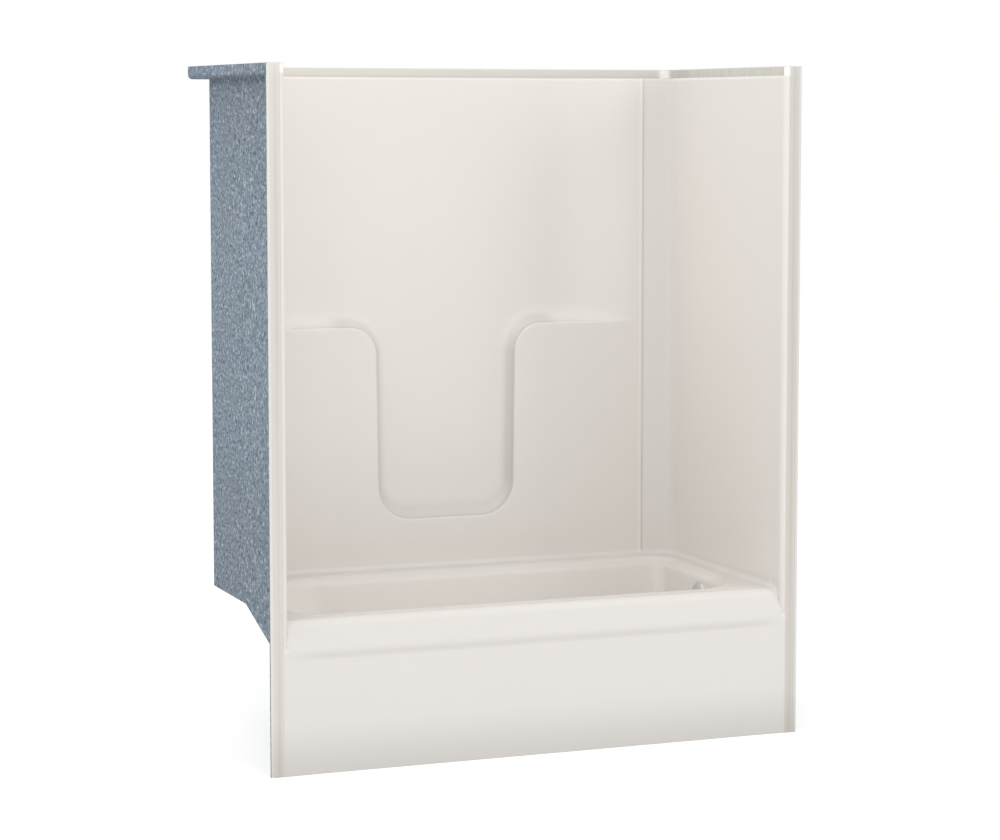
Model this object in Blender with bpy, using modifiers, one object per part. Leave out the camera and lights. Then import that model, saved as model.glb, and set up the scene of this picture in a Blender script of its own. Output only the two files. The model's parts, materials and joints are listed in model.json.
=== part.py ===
"""Tub and shower unit: a moulded alcove bath with its walls, flanges, framing and waste set.

X runs to the right, Y to the rear and Z up. The origin is the middle of the footprint on the floor.
A depth is measured rearwards from the front face, and a height upwards from the floor.
"""
import math

import bmesh
import bpy
from mathutils import Matrix, Vector

# Overall size
UNIT_WIDTH = 1.524
UNIT_DEPTH = 0.762
UNIT_HEIGHT = 1.829

# Layers of the moulding
SKIN = 0.0025
LAMINATE = 0.006
GAP = 0.0003

# Wall lines in plan
FRONT_RETURN = 0.0495
WALL_DRAFT = 0.0102
SIDE_WALL_REAR_INSET = 0.1016
WAINSCOT_INSET = 0.0762
UPPER_WALL_INSET = 0.0356
POST_WIDTH = 0.0889
POST_STEP_WIDTH = 0.0064
POST_STEP_DEPTH = 0.0089
POST_WRAP = 0.022
BOW_START = 0.3556

# Heights of the walls
LEDGE_HEIGHT = 1.105
LEDGE_COVE = 0.0508
TOP_FLANGE_HEIGHT = 0.0256
TOP_ROLL = 0.0076
BUTT_STRIP = 0.006
TOP_FLANGE_INSET = 0.019
TOP_CORNER_RADIUS = 0.024

# Recess in the back wall
RECESS_WIDTH = 0.4190
RECESS_TAPER = 0.0050
RECESS_LIP_HEIGHT = 0.5563
RECESS_SIDE_COVE = 0.040
RECESS_FLOOR_COVE = 0.085
RECESS_TOP_RADIUS = 0.0838
RECESS_FLOOR_RADIUS = 0.095
RECESS_BACK_RADIUS = 0.055

# Rim deck and bathing well
RIM_HEIGHT = 0.4013
DECK_RISE = 0.015
DECK_LEFT = 0.0343
DECK_RIGHT = 0.0381
DECK_REAR = 0.0457
WELL_FRONT_DEPTH = 0.083
WELL_MARGIN = 0.0075
RIM_RADIUS = 0.0305
WELL_WALL_FOOT = 0.127
WELL_FLOOR_RADIUS = 0.0457
BACKREST_RUN = 0.135
BACKREST_CORNER_DRAW = 0.061
WELL_FRONT_RUN = 0.033
WELL_REAR_RUN = 0.0203
REAR_LEFT_CORNER = 0.254
LEFT_STRAIGHT = 0.006
REAR_RIGHT_CORNER = (0.114, 0.114)
FRONT_RIGHT_CORNER = (0.152, 0.229)
FRONT_LEFT_CORNER = (0.122, 0.114)
REAR_RIGHT_CREASE = (0.036, 0.036)

# Front rim, apron and front flanges
NOSING_DEPTH = 0.0584
NOSING_RADIUS = 0.0139
NOSING_FOOT = 0.3073
FLANGE_WIDTH = 0.0356
FLANGE_STEP = 0.0025
RIM_BAND_FOOT = 0.3124
RIM_BAND_LEAN = 0.0165
FRONT_ROLL_RADIUS = 0.030
APRON_RECESS = 0.0076
APRON_TOE = 0.0025
APRON_TOE_HEIGHT = 0.040
SKIRT_KINK_DEPTH = 0.343
SKIRT_DROP = 0.104

# Boards and blocks
FLOOR_BOARD = 0.012
FLOOR_BOARD_MARGIN = 0.018
BEARER_WIDTH = 0.064
POST_SIZE = (0.038, 0.019)
RAIL_HEIGHT = 0.038
BACKER_SIZE = (0.250, 0.190)
BACKER_THICKNESS = 0.012
BACKER_HEIGHT = 0.800

# Waste and overflow
WASTE_DEPTH = 0.353
DRAIN_FROM_END = 0.1308
DRAIN_HOLE_RADIUS = 0.026
DRAIN_FLANGE_RADIUS = 0.037
DRAIN_FLANGE_THICKNESS = 0.003
BARREL_RADIUS = 0.0235
BARREL_WALL = 0.002
BARREL_LENGTH = 0.028
GASKET_THICKNESS = 0.003
SHOE_RADIUS = 0.030
SHOE_WALL = 0.004
SHOE_FOOT = 0.008
TUBE_RADIUS = 0.019
TUBE_WALL = 0.0013
SOCKET_WALL = 0.0042
SOCKET_DEPTH = 0.022
WASTE_AXIS_HEIGHT = 0.0335
TEE_FOOT = 0.003
TEE_TOP = 0.082
TEE_BRANCH = 0.046
SEAT_HEIGHT = 0.009
SEAT_RADIUS = 0.0145
NUT_WALL = 0.0075
NUT_LENGTH = 0.014
STRAINER_THICKNESS = 0.0024
STRAINER_HOLE_RADIUS = 0.0045
STRAINER_SCREW_RADIUS = 0.0025
OVERFLOW_HEIGHT = 0.3366
OVERFLOW_HOLE_RADIUS = 0.030
OVERFLOW_STAND_OFF = 0.030
OVERFLOW_GASKET = 0.004
ELBOW_RADIUS = 0.034
ELBOW_WALL = 0.004
ELBOW_DROP = 0.070
PLATE_RADIUS = 0.0397
PLATE_FLAT_RADIUS = 0.030
PLATE_RISE = 0.009
PLATE_THICKNESS = 0.002
PLATE_SCREW_SPACING = 0.047
PLATE_SCREW_RADIUS = 0.002
PLATE_SCREW_HEAD = 0.004
EAR_SIZE = (0.0155, 0.0025, 0.010)
LEVER_THICKNESS = 0.004
LEVER_DEPTH = 0.006
LEVER_HANDLE = 0.020
LEVER_KNOB = 0.011
LEVER_TILT = math.radians(28.0)
PIVOT_SET_BACK = 0.0088
PIN_RADIUS = 0.0015
ROD_RADIUS = 0.0016
STRAP_SIZE = (0.0130, 0.0025, 0.0095)
PLUNGER_RADIUS = 0.0155
PLUNGER_LENGTH = 0.036
RUNNING_GAP = 0.0005
CUT_OVERRUN = 0.020

# Facets
CORNER_STEPS = 6
COVE_STEPS = 4
ROLL_STEPS = 3
BOW_STEPS = 4
ROUND_STEPS = 28

# Sizes that follow from those above
TOP_LEDGE_HEIGHT = UNIT_HEIGHT - TOP_FLANGE_HEIGHT
STACK = SKIN + GAP + LAMINATE
FRONT_Y = -UNIT_DEPTH / 2
WALL_FRONT_X = UNIT_WIDTH / 2 - FRONT_RETURN
WALL_REAR_X = WALL_FRONT_X - WALL_DRAFT
WALL_REAR_DEPTH = UNIT_DEPTH - SIDE_WALL_REAR_INSET
WAINSCOT_DEPTH = UNIT_DEPTH - WAINSCOT_INSET
UPPER_WALL_DEPTH = UNIT_DEPTH - UPPER_WALL_INSET
POST_EDGE_X = WALL_REAR_X - POST_WIDTH
WAINSCOT_EDGE_X = POST_EDGE_X - POST_STEP_WIDTH
WALL_TOP = TOP_LEDGE_HEIGHT - TOP_ROLL - BUTT_STRIP
FLANGE_INNER_X = UNIT_WIDTH / 2 - FLANGE_WIDTH
TOP_OUTER_X = UNIT_WIDTH / 2 - TOP_FLANGE_INSET - STACK
WELL_FLOOR = WELL_WALL_FOOT - WELL_FLOOR_RADIUS
WELL_UNDERSIDE = WELL_FLOOR - STACK
WELL_LEFT_X = -WALL_REAR_X + DECK_LEFT
WELL_RIGHT_X = WALL_REAR_X - DECK_RIGHT + WALL_DRAFT / 2
WELL_REAR_DEPTH = WAINSCOT_DEPTH - DECK_REAR
WASTE_Y = FRONT_Y + WASTE_DEPTH
END_FACE_X = WELL_RIGHT_X - RIM_RADIUS
END_BACK_X = END_FACE_X + STACK
DRAIN_X = END_FACE_X - DRAIN_FROM_END
RISER_X = END_BACK_X + OVERFLOW_STAND_OFF
BOARD_TOP = WELL_UNDERSIDE - GAP
BOARD_FOOT = BOARD_TOP - FLOOR_BOARD
PLATE_FRONT_X = END_FACE_X - GAP - PLATE_RISE
PIVOT_X = PLATE_FRONT_X + PIVOT_SET_BACK
PIN_REACH = 2 * (RISER_X - PIVOT_X) / (1 + math.cos(LEVER_TILT))
LIFT_TRAVEL = 2 * PIN_REACH * math.sin(LEVER_TILT)


def clear_scene():
    """Remove every object of the scene."""
    for obj in list(bpy.data.objects):
        bpy.data.objects.remove(obj, do_unlink=True)


def make_collection(name):
    """Add a collection to the scene."""
    collection = bpy.data.collections.new(name)
    bpy.context.scene.collection.children.link(collection)
    return collection


def make_material(name, color, roughness, metallic=0.0):
    """A plain material of one colour."""
    material = bpy.data.materials.new(name)
    material.use_nodes = True
    shader = material.node_tree.nodes["Principled BSDF"]
    shader.inputs["Base Color"].default_value = (*color, 1.0)
    shader.inputs["Roughness"].default_value = roughness
    shader.inputs["Metallic"].default_value = metallic
    material.diffuse_color = (*color, 1.0)
    return material


clear_scene()
PARTS = make_collection("tub_and_shower_unit")
CUTTERS = make_collection("cutters")
GLOSS = make_material("biscuit_gloss", (0.79, 0.75, 0.70), 0.18)
FIBRE = make_material("blue_grey_laminate", (0.23, 0.28, 0.33), 0.75)
BOARD = make_material("plain_board", (0.62, 0.47, 0.31), 0.80)
CHROME = make_material("chrome", (0.80, 0.81, 0.82), 0.10, 1.0)
BRASS = make_material("brass", (0.73, 0.58, 0.30), 0.30, 1.0)
PIPE = make_material("black_pipe", (0.03, 0.03, 0.032), 0.45)
RUBBER = make_material("black_rubber", (0.02, 0.02, 0.02), 0.80)


def add_mesh(name, bm, material=None, collection=PARTS):
    """Make an object from a bmesh. One without a material is a cutter."""
    mesh = bpy.data.meshes.new(name)
    bm.to_mesh(mesh)
    bm.free()
    obj = bpy.data.objects.new(name, mesh)
    if material is None:
        CUTTERS.objects.link(obj)
        obj.hide_render = True
        obj.display_type = "WIRE"
    else:
        collection.objects.link(obj)
        mesh.materials.append(material)
    return obj


def boolean(obj, other, operation):
    """Cut or join a cutter with an object."""
    modifier = obj.modifiers.new(operation.lower(), "BOOLEAN")
    modifier.operation = operation
    modifier.solver = "EXACT"
    modifier.object = other


def mirror_across_x(obj):
    """Add the left half of an object that is open at its middle."""
    modifier = obj.modifiers.new("mirror", "MIRROR")
    modifier.merge_threshold = 0.0001


def add_layer(obj, start, thickness):
    """Turn an open sheet into a layer that lies from start behind its face."""
    modifier = obj.modifiers.new("layer", "SOLIDIFY")
    modifier.thickness = thickness
    modifier.offset = -1 - 2 * start / thickness
    modifier.solidify_mode = "NON_MANIFOLD"
    modifier.nonmanifold_thickness_mode = "CONSTRAINTS"


def smooth(obj):
    """Shade a round piece smooth, with its corners sharp."""
    obj.data.shade_smooth()
    obj.data.set_sharp_from_angle(angle=math.radians(35))


def orient(bm, direction):
    """Turn the faces of a sheet so that they look along a direction overall."""
    bmesh.ops.recalc_face_normals(bm, faces=bm.faces[:])
    total = Vector()
    for face in bm.faces:
        total += face.normal * face.calc_area()
    if total.dot(Vector(direction)) < 0:
        bmesh.ops.reverse_faces(bm, faces=bm.faces[:])


def add_rows(bm, rows, closed=False):
    """Add rows of points to a bmesh, with quads between neighbouring rows."""
    grid = [[bm.verts.new(point) for point in row] for row in rows]
    for near, far in zip(grid, grid[1:]):
        count = len(near)
        for i in range(count if closed else count - 1):
            j = (i + 1) % count
            bm.faces.new((near[i], near[j], far[j], far[i]))
    return grid


def arc(centre, radii, start, end, steps):
    """Points along part of an ellipse, from one angle to another in degrees."""
    points = []
    for i in range(steps + 1):
        angle = math.radians(start + (end - start) * i / steps)
        points.append((centre[0] + radii[0] * math.cos(angle), centre[1] + radii[1] * math.sin(angle)))
    return points


def offset_line(points, distance):
    """Move an open plan line sideways, to the right of its direction, with mitred corners."""
    normals = []
    for start, end in zip(points, points[1:]):
        along = (Vector(end) - Vector(start)).normalized()
        normals.append(Vector((along.y, -along.x)))
    moved = []
    for i, point in enumerate(points):
        before = normals[max(i - 1, 0)]
        after = normals[min(i, len(normals) - 1)]
        mitre = (before + after) / (1 + before.dot(after))
        moved.append(tuple(Vector(point) + mitre * distance))
    return moved


def add_box(bm, low, high):
    """Add a box between two corners to a bmesh."""
    size = [high[i] - low[i] for i in range(3)]
    middle = [(high[i] + low[i]) / 2 for i in range(3)]
    matrix = Matrix.Translation(middle) @ Matrix.Diagonal((*size, 1.0))
    bmesh.ops.create_cube(bm, size=1.0, matrix=matrix)


def box(name, low, high, material=None):
    """A box between two corners."""
    bm = bmesh.new()
    add_box(bm, low, high)
    return add_mesh(name, bm, material)


def rod(name, start, end, radius, material=None):
    """A solid round bar between two points."""
    start = Vector(start)
    end = Vector(end)
    turn = (end - start).to_track_quat("Z", "Y").to_matrix().to_4x4()
    bm = bmesh.new()
    bmesh.ops.create_cone(
        bm, cap_ends=True, segments=ROUND_STEPS, radius1=radius, radius2=radius,
        depth=(end - start).length, matrix=Matrix.Translation((start + end) / 2) @ turn,
    )
    obj = add_mesh(name, bm, material)
    smooth(obj)
    return obj


def turned(name, profile, place, material, along="Z", steps=ROUND_STEPS, closed=True):
    """A turned piece. Its profile of radius and height runs down the outer side."""
    bm = bmesh.new()
    verts = [bm.verts.new((radius, 0, height)) for radius, height in profile]
    for start, end in zip(verts, verts[1:]):
        bm.edges.new((start, end))
    if closed:
        bm.edges.new((verts[-1], verts[0]))
    obj = add_mesh(name, bm, material)
    obj.location = place
    if along == "X":
        obj.rotation_euler = (0, math.radians(90), 0)
    modifier = obj.modifiers.new("turn", "SCREW")
    modifier.axis = "Z"
    modifier.angle = math.radians(360)
    modifier.steps = steps
    modifier.render_steps = steps
    modifier.use_merge_vertices = True
    modifier.merge_threshold = 0.00005
    return obj


def ring_profile(outer, inner, low, high):
    """The section of a plain ring or tube, from its outer top edge."""
    return [(outer, high), (outer, low), (inner, low), (inner, high)]


def y_at(depth):
    """The Y of a depth behind the front face."""
    return FRONT_Y + depth


def deck_height(depth):
    """The height of the rim deck, which rises to the rear."""
    return RIM_HEIGHT + DECK_RISE * (depth - NOSING_DEPTH) / (WAINSCOT_DEPTH - NOSING_DEPTH)


def wall_x(depth):
    """The X of the right end wall's face, which leans in to the rear."""
    share = (depth - NOSING_DEPTH) / (WALL_REAR_DEPTH - NOSING_DEPTH)
    return WALL_FRONT_X - WALL_DRAFT * share


def upper_depth(x):
    """The depth of the upper back wall, which bows forward to the corner posts."""
    if x <= BOW_START:
        return UPPER_WALL_DEPTH
    share = min((x - BOW_START) / (WAINSCOT_EDGE_X - BOW_START), 1.0)
    return UPPER_WALL_DEPTH - (UPPER_WALL_DEPTH - WAINSCOT_DEPTH) * (1 - math.cos(math.pi * share)) / 2


def bow_line():
    """Places along the back wall, from where it starts to bow to the wainscot's edge."""
    span = WAINSCOT_EDGE_X - BOW_START
    return [BOW_START + span * i / BOW_STEPS for i in range(BOW_STEPS + 1)]


def post_line():
    """The plan of the corner post, from beside the wainscot to its wrap on the end wall."""
    wrap_depth = WALL_REAR_DEPTH - POST_WRAP
    return [
        (POST_EDGE_X, WAINSCOT_DEPTH + POST_STEP_DEPTH),
        (WALL_REAR_X, WALL_REAR_DEPTH),
        (wall_x(wrap_depth), wrap_depth),
    ]


def recess_lip():
    """Half of the recess's front edge and the ledge, from the middle of its floor."""
    side = RECESS_WIDTH / 2
    low_side = side - RECESS_TAPER
    low_centre = (low_side - RECESS_FLOOR_RADIUS, RECESS_LIP_HEIGHT + RECESS_FLOOR_RADIUS)
    top_centre = (side + RECESS_TOP_RADIUS, LEDGE_HEIGHT - RECESS_TOP_RADIUS)
    points = [(0, RECESS_LIP_HEIGHT)]
    points += arc(low_centre, (RECESS_FLOOR_RADIUS, RECESS_FLOOR_RADIUS), -90, 0, CORNER_STEPS)
    points += arc(top_centre, (RECESS_TOP_RADIUS, RECESS_TOP_RADIUS), 180, 90, CORNER_STEPS)
    points += [(x, LEDGE_HEIGHT) for x in bow_line()]
    return points


def recess_back():
    """The line where the cove behind the front edge meets the wall, point for point."""
    side = RECESS_WIDTH / 2
    low_side = side - RECESS_TAPER - RECESS_SIDE_COVE
    floor = RECESS_LIP_HEIGHT + RECESS_FLOOR_COVE
    low_centre = (low_side - RECESS_BACK_RADIUS, floor + RECESS_BACK_RADIUS)
    top_centre = (side + RECESS_TOP_RADIUS, LEDGE_HEIGHT - RECESS_TOP_RADIUS)
    top_radii = (RECESS_TOP_RADIUS + RECESS_SIDE_COVE, RECESS_TOP_RADIUS + LEDGE_COVE)
    points = [(0, floor)]
    points += arc(low_centre, (RECESS_BACK_RADIUS, RECESS_BACK_RADIUS), -90, 0, CORNER_STEPS)
    points += arc(top_centre, top_radii, 180, 90, CORNER_STEPS)
    points += [(x, LEDGE_HEIGHT + LEDGE_COVE) for x in bow_line()]
    return points


def back_wall_sheet(lift):
    """Right half of the back wall's face, standing a lift above the deck."""
    bm = bmesh.new()
    rows = []
    for i in range(COVE_STEPS + 1):
        angle = math.radians(90) * i / COVE_STEPS
        row = []
        for front, back in zip(recess_lip(), recess_back()):
            x = front[0] + (back[0] - front[0]) * (1 - math.cos(angle))
            height = front[1] + (back[1] - front[1]) * (1 - math.cos(angle))
            depth = WAINSCOT_DEPTH + (upper_depth(x) - WAINSCOT_DEPTH) * math.sin(angle)
            row.append((x, y_at(depth), height))
        rows.append(row)
    grid = add_rows(bm, rows)
    lip = grid[0]
    back = grid[-1]
    foot = deck_height(WAINSCOT_DEPTH) + lift
    foot_edge = bm.verts.new((WAINSCOT_EDGE_X, y_at(WAINSCOT_DEPTH), foot))
    foot_middle = bm.verts.new((0, y_at(WAINSCOT_DEPTH), foot))
    bm.faces.new(lip + [foot_edge, foot_middle])
    mouth = 2 * CORNER_STEPS + 2
    mouth_middle = bm.verts.new((0, y_at(UPPER_WALL_DEPTH), LEDGE_HEIGHT + LEDGE_COVE))
    top_middle = bm.verts.new((0, y_at(UPPER_WALL_DEPTH), WALL_TOP - GAP))
    bm.faces.new(back[:mouth + 1] + [mouth_middle])
    tops = [bm.verts.new((v.co.x, v.co.y, WALL_TOP - GAP)) for v in back[mouth:]]
    bm.faces.new((mouth_middle, back[mouth], tops[0], top_middle))
    for i in range(len(tops) - 1):
        bm.faces.new((back[mouth + i], back[mouth + i + 1], tops[i + 1], tops[i]))
    column = [foot_edge] + [row[-1] for row in grid] + [tops[-1]]
    for x, depth in post_line():
        heights = [deck_height(depth) + lift] + [v.co.z for v in column[1:]]
        following = [bm.verts.new((x, y_at(depth), height)) for height in heights]
        for i in range(len(column) - 1):
            bm.faces.new((column[i], following[i], following[i + 1], column[i + 1]))
        column = following
    orient(bm, (0, -1, 0))
    return bm


def build_back_wall():
    """The back wall with its wainscot, recess and corner posts, in two layers."""
    face = add_mesh("back_wall_face", back_wall_sheet(GAP), GLOSS)
    backing = add_mesh("back_wall_laminate", back_wall_sheet(-STACK), FIBRE)
    for obj in (face, backing):
        mirror_across_x(obj)
    add_layer(face, 0, SKIN)
    add_layer(backing, SKIN + GAP, LAMINATE)


def end_wall_sheet(side, outline):
    """An end wall's face from its outline of depth and height."""
    bm = bmesh.new()
    bm.faces.new([bm.verts.new((side * wall_x(depth), y_at(depth), height)) for depth, height in outline])
    orient(bm, (-side, 0, 0))
    return bm


def build_end_wall(side, name):
    """One end wall: its face, and its laminate with the skirt below the deck."""
    front = NOSING_DEPTH + GAP
    rear = WALL_REAR_DEPTH - POST_WRAP - GAP
    top = WALL_TOP - GAP
    face_outline = [
        (front, deck_height(front) + GAP),
        (rear, deck_height(rear) + GAP),
        (rear, top),
        (front, top),
    ]
    back_outline = [
        (front, RIM_HEIGHT - SKIRT_DROP),
        (SKIRT_KINK_DEPTH, deck_height(SKIRT_KINK_DEPTH) - STACK),
        (rear, deck_height(rear) - STACK),
        (rear, top),
        (front, top),
    ]
    face = add_mesh(name + "_end_wall_face", end_wall_sheet(side, face_outline), GLOSS)
    add_layer(face, 0, SKIN)
    backing = add_mesh(name + "_end_wall_laminate", end_wall_sheet(side, back_outline), FIBRE)
    add_layer(backing, SKIN + GAP, LAMINATE)


def blend(first, second, share):
    """An outline of the well between two others."""
    return {
        key: tuple(a + (b - a) * share for a, b in zip(first[key], second[key]))
        for key in first
    }


def inset(outline, distance):
    """An outline of the well drawn in by a distance, or out by a negative one."""
    left, right, front, rear = outline["box"]
    drawn = {key: tuple(value - distance for value in radii) for key, radii in outline.items()}
    drawn["box"] = (left + distance, right - distance, front + distance, rear - distance)
    return drawn


def outline_points(outline):
    """The points of a well outline in plan, as X and depth, from the rear left corner round."""
    left, right, front, rear = outline["box"]
    points = []
    for key, x, depth, x_way, depth_way, start in (
        ("rear_left", left, rear, 1, -1, 180),
        ("rear_right", right, rear, -1, -1, 90),
        ("front_right", right, front, -1, 1, 0),
        ("front_left", left, front, 1, 1, -90),
    ):
        radii = outline[key]
        centre = (x + x_way * radii[0], depth + depth_way * radii[1])
        points += arc(centre, radii, start, start - 90, CORNER_STEPS)
    return points


def rim_outline():
    """The edge of the flat deck round the well. The backrest's corner takes up most of the left end."""
    backrest_depth = WELL_REAR_DEPTH - WELL_FRONT_DEPTH - FRONT_LEFT_CORNER[1] - LEFT_STRAIGHT
    return {
        "box": (WELL_LEFT_X, WELL_RIGHT_X, WELL_FRONT_DEPTH, WELL_REAR_DEPTH),
        "rear_left": (REAR_LEFT_CORNER, backrest_depth),
        "rear_right": REAR_RIGHT_CORNER,
        "front_right": FRONT_RIGHT_CORNER,
        "front_left": FRONT_LEFT_CORNER,
    }


def wall_head_outline():
    """The head of the well's walls, below the rolled rim."""
    outline = inset(rim_outline(), RIM_RADIUS)
    outline["rear_right"] = REAR_RIGHT_CREASE
    return outline


def wall_foot_outline():
    """The foot of the well's walls. The backrest slopes most and the drain end is upright."""
    outline = dict(wall_head_outline())
    left, right, front, rear = outline["box"]
    outline["box"] = (left + BACKREST_RUN, right, front + WELL_FRONT_RUN, rear - WELL_REAR_RUN)
    outline["rear_left"] = tuple(radius - BACKREST_CORNER_DRAW for radius in outline["rear_left"])
    outline["front_right"] = tuple(radius - RIM_RADIUS for radius in outline["front_right"])
    return outline


def well_rings():
    """Rings of the well from the deck to its floor."""
    rim = rim_outline()
    head = wall_head_outline()
    foot = wall_foot_outline()
    rings = [[(x, y_at(depth), deck_height(depth)) for x, depth in outline_points(inset(rim, -WELL_MARGIN))]]
    for i in range(ROLL_STEPS + 1):
        angle = math.radians(90) * i / ROLL_STEPS
        outline = blend(rim, head, math.sin(angle))
        drop = RIM_RADIUS * (1 - math.cos(angle))
        rings.append([(x, y_at(depth), deck_height(depth) - drop) for x, depth in outline_points(outline)])
    for i in range(ROLL_STEPS + 1):
        angle = math.radians(90) * i / ROLL_STEPS
        outline = inset(foot, WELL_FLOOR_RADIUS * (1 - math.cos(angle)))
        outline["rear_right"] = REAR_RIGHT_CREASE
        height = WELL_WALL_FOOT - WELL_FLOOR_RADIUS * math.sin(angle)
        rings.append([(x, y_at(depth), height) for x, depth in outline_points(outline)])
    return rings


def well_sheet():
    """The inner face of the bathing well."""
    bm = bmesh.new()
    grid = add_rows(bm, well_rings(), closed=True)
    bm.faces.new(grid[-1])
    orient(bm, (0, 0, 1))
    return bm


def build_well():
    """The bathing well in two layers, with its drain and overflow holes."""
    drain_hole = rod(
        "drain_hole_cutter",
        (DRAIN_X, WASTE_Y, WELL_FLOOR - CUT_OVERRUN),
        (DRAIN_X, WASTE_Y, WELL_FLOOR + CUT_OVERRUN),
        DRAIN_HOLE_RADIUS,
    )
    overflow_hole = rod(
        "overflow_hole_cutter",
        (END_FACE_X - CUT_OVERRUN, WASTE_Y, OVERFLOW_HEIGHT),
        (END_FACE_X + CUT_OVERRUN, WASTE_Y, OVERFLOW_HEIGHT),
        OVERFLOW_HOLE_RADIUS,
    )
    face = add_mesh("bathing_well_face", well_sheet(), GLOSS)
    add_layer(face, 0, SKIN)
    backing = add_mesh("bathing_well_laminate", well_sheet(), FIBRE)
    add_layer(backing, SKIN + GAP, LAMINATE)
    for obj in (face, backing):
        boolean(obj, drain_hole, "DIFFERENCE")
        boolean(obj, overflow_hole, "DIFFERENCE")
        smooth(obj)


def deck_edge():
    """The deck's outer edge in plan, under the faces of the walls."""
    line = [(WALL_FRONT_X, NOSING_DEPTH), (WALL_REAR_X, WALL_REAR_DEPTH)]
    line += [post_line()[0], (WAINSCOT_EDGE_X, WAINSCOT_DEPTH), (0, WAINSCOT_DEPTH)]
    right = offset_line(line, SKIN)[:-1]
    left = [(-x, depth) for x, depth in reversed(right)]
    return right + left


def deck_sheet():
    """The flat rim deck round the well."""
    bm = bmesh.new()
    edges = []
    hole = outline_points(inset(rim_outline(), -WELL_MARGIN - GAP))
    for points in (deck_edge(), hole):
        verts = [bm.verts.new((x, y_at(depth), deck_height(depth))) for x, depth in points]
        for i, vert in enumerate(verts):
            edges.append(bm.edges.new((vert, verts[(i + 1) % len(verts)])))
    bmesh.ops.triangle_fill(bm, use_beauty=True, edges=edges)
    orient(bm, (0, 0, 1))
    return bm


def build_deck():
    """The rim deck in two layers."""
    face = add_mesh("rim_deck_face", deck_sheet(), GLOSS)
    add_layer(face, 0, SKIN)
    backing = add_mesh("rim_deck_laminate", deck_sheet(), FIBRE)
    add_layer(backing, SKIN + GAP, LAMINATE)


def front_rim_line():
    """The section of the rolled front rim, as depth and height, from the deck down."""
    start = NOSING_DEPTH - GAP
    roll_top = RIM_BAND_LEAN + FRONT_ROLL_RADIUS
    top = deck_height(roll_top)
    points = [(start, deck_height(start))]
    points += arc((roll_top, top - FRONT_ROLL_RADIUS), (FRONT_ROLL_RADIUS, FRONT_ROLL_RADIUS), 90, 175, ROLL_STEPS)
    points.append((0, RIM_BAND_FOOT))
    points.append((APRON_RECESS, RIM_BAND_FOOT - APRON_RECESS))
    points.append((APRON_RECESS, RIM_BAND_FOOT - APRON_RECESS - BUTT_STRIP))
    return points


def section_sheet(line, half_width):
    """A section of depth and height drawn across the unit's width."""
    bm = bmesh.new()
    rows = [[(x, y_at(depth), height) for depth, height in line] for x in (-half_width, half_width)]
    add_rows(bm, rows)
    orient(bm, (0, -1, 0))
    return bm


def build_front_rim():
    """The rolled front rim between the two nosings."""
    half_width = WALL_FRONT_X - GAP
    face = add_mesh("front_rim_face", section_sheet(front_rim_line(), half_width), GLOSS)
    add_layer(face, 0, SKIN)
    backing = add_mesh("front_rim_laminate", section_sheet(front_rim_line(), half_width), FIBRE)
    add_layer(backing, SKIN + GAP, LAMINATE)


def apron_line(foot):
    """The section of the apron below the rolled rim, down to its foot."""
    head = RIM_BAND_FOOT - APRON_RECESS - BUTT_STRIP - GAP
    return [
        (APRON_RECESS, head),
        (APRON_RECESS, head - BUTT_STRIP),
        (APRON_TOE, APRON_TOE_HEIGHT),
        (APRON_TOE, foot),
    ]


def build_apron():
    """The flat front apron. Its laminate reaches the floor and carries the front."""
    half_width = FLANGE_INNER_X - GAP
    face = add_mesh("front_apron_face", section_sheet(apron_line(GAP), half_width), GLOSS)
    add_layer(face, 0, SKIN)
    backing = add_mesh("front_apron_laminate", section_sheet(apron_line(0), half_width), FIBRE)
    add_layer(backing, SKIN + GAP, LAMINATE)


def nosing_line():
    """The plan of the right nosing, from the end wall round to the front flange."""
    face_x = WALL_FRONT_X
    centre = (FLANGE_INNER_X, FLANGE_STEP + NOSING_RADIUS)
    points = [(face_x, NOSING_DEPTH - GAP)]
    points += arc(centre, (FLANGE_INNER_X - face_x, NOSING_RADIUS), 180, 270, CORNER_STEPS)
    return points


def flange_sheet(side, foot):
    """A front flange with its nosing, from a foot height to the top of the unit."""
    bm = bmesh.new()
    nosing = nosing_line()
    line = nosing + [(FLANGE_INNER_X + FLANGE_STEP, 0), (UNIT_WIDTH / 2, 0)]
    heights = [foot, NOSING_FOOT, WALL_TOP - GAP, UNIT_HEIGHT]
    starts = [len(nosing) - 1, 0, len(nosing) - 2]
    rows = [[bm.verts.new((side * x, y_at(depth), height)) for x, depth in line] for height in heights]
    for start, low, high in zip(starts, rows, rows[1:]):
        for i in range(start, len(line) - 1):
            bm.faces.new((low[i], low[i + 1], high[i + 1], high[i]))
    loose = [vert for vert in bm.verts if not vert.link_faces]
    bmesh.ops.delete(bm, geom=loose, context="VERTS")
    orient(bm, (0, -1, 0))
    return bm


def build_front_flange(side, name):
    """One vertical front flange with the nosing beside the end wall, in two layers."""
    face = add_mesh(name + "_front_flange_face", flange_sheet(side, GAP), GLOSS)
    add_layer(face, 0, SKIN)
    backing = add_mesh(name + "_front_flange_laminate", flange_sheet(side, 0), FIBRE)
    add_layer(backing, SKIN + GAP, LAMINATE)


def side_top_lines():
    """Inner and outer plan lines of the right ledge, from behind the front flange."""
    front = FLANGE_STEP + STACK + GAP
    split_depth = WALL_REAR_DEPTH - POST_WRAP - GAP
    inner = [(wall_x(split_depth), split_depth)]
    for point in nosing_line():
        if point[1] < front:
            last = inner[-1]
            share = (last[1] - front) / (last[1] - point[1])
            inner.append((last[0] + (point[0] - last[0]) * share, front))
            break
        inner.append(point)
    inner.reverse()
    steps = len(inner) - 2
    outer = [(TOP_OUTER_X, front + (NOSING_DEPTH - front) * i / steps) for i in range(steps + 1)]
    return inner, outer + [(TOP_OUTER_X, split_depth)]


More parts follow.
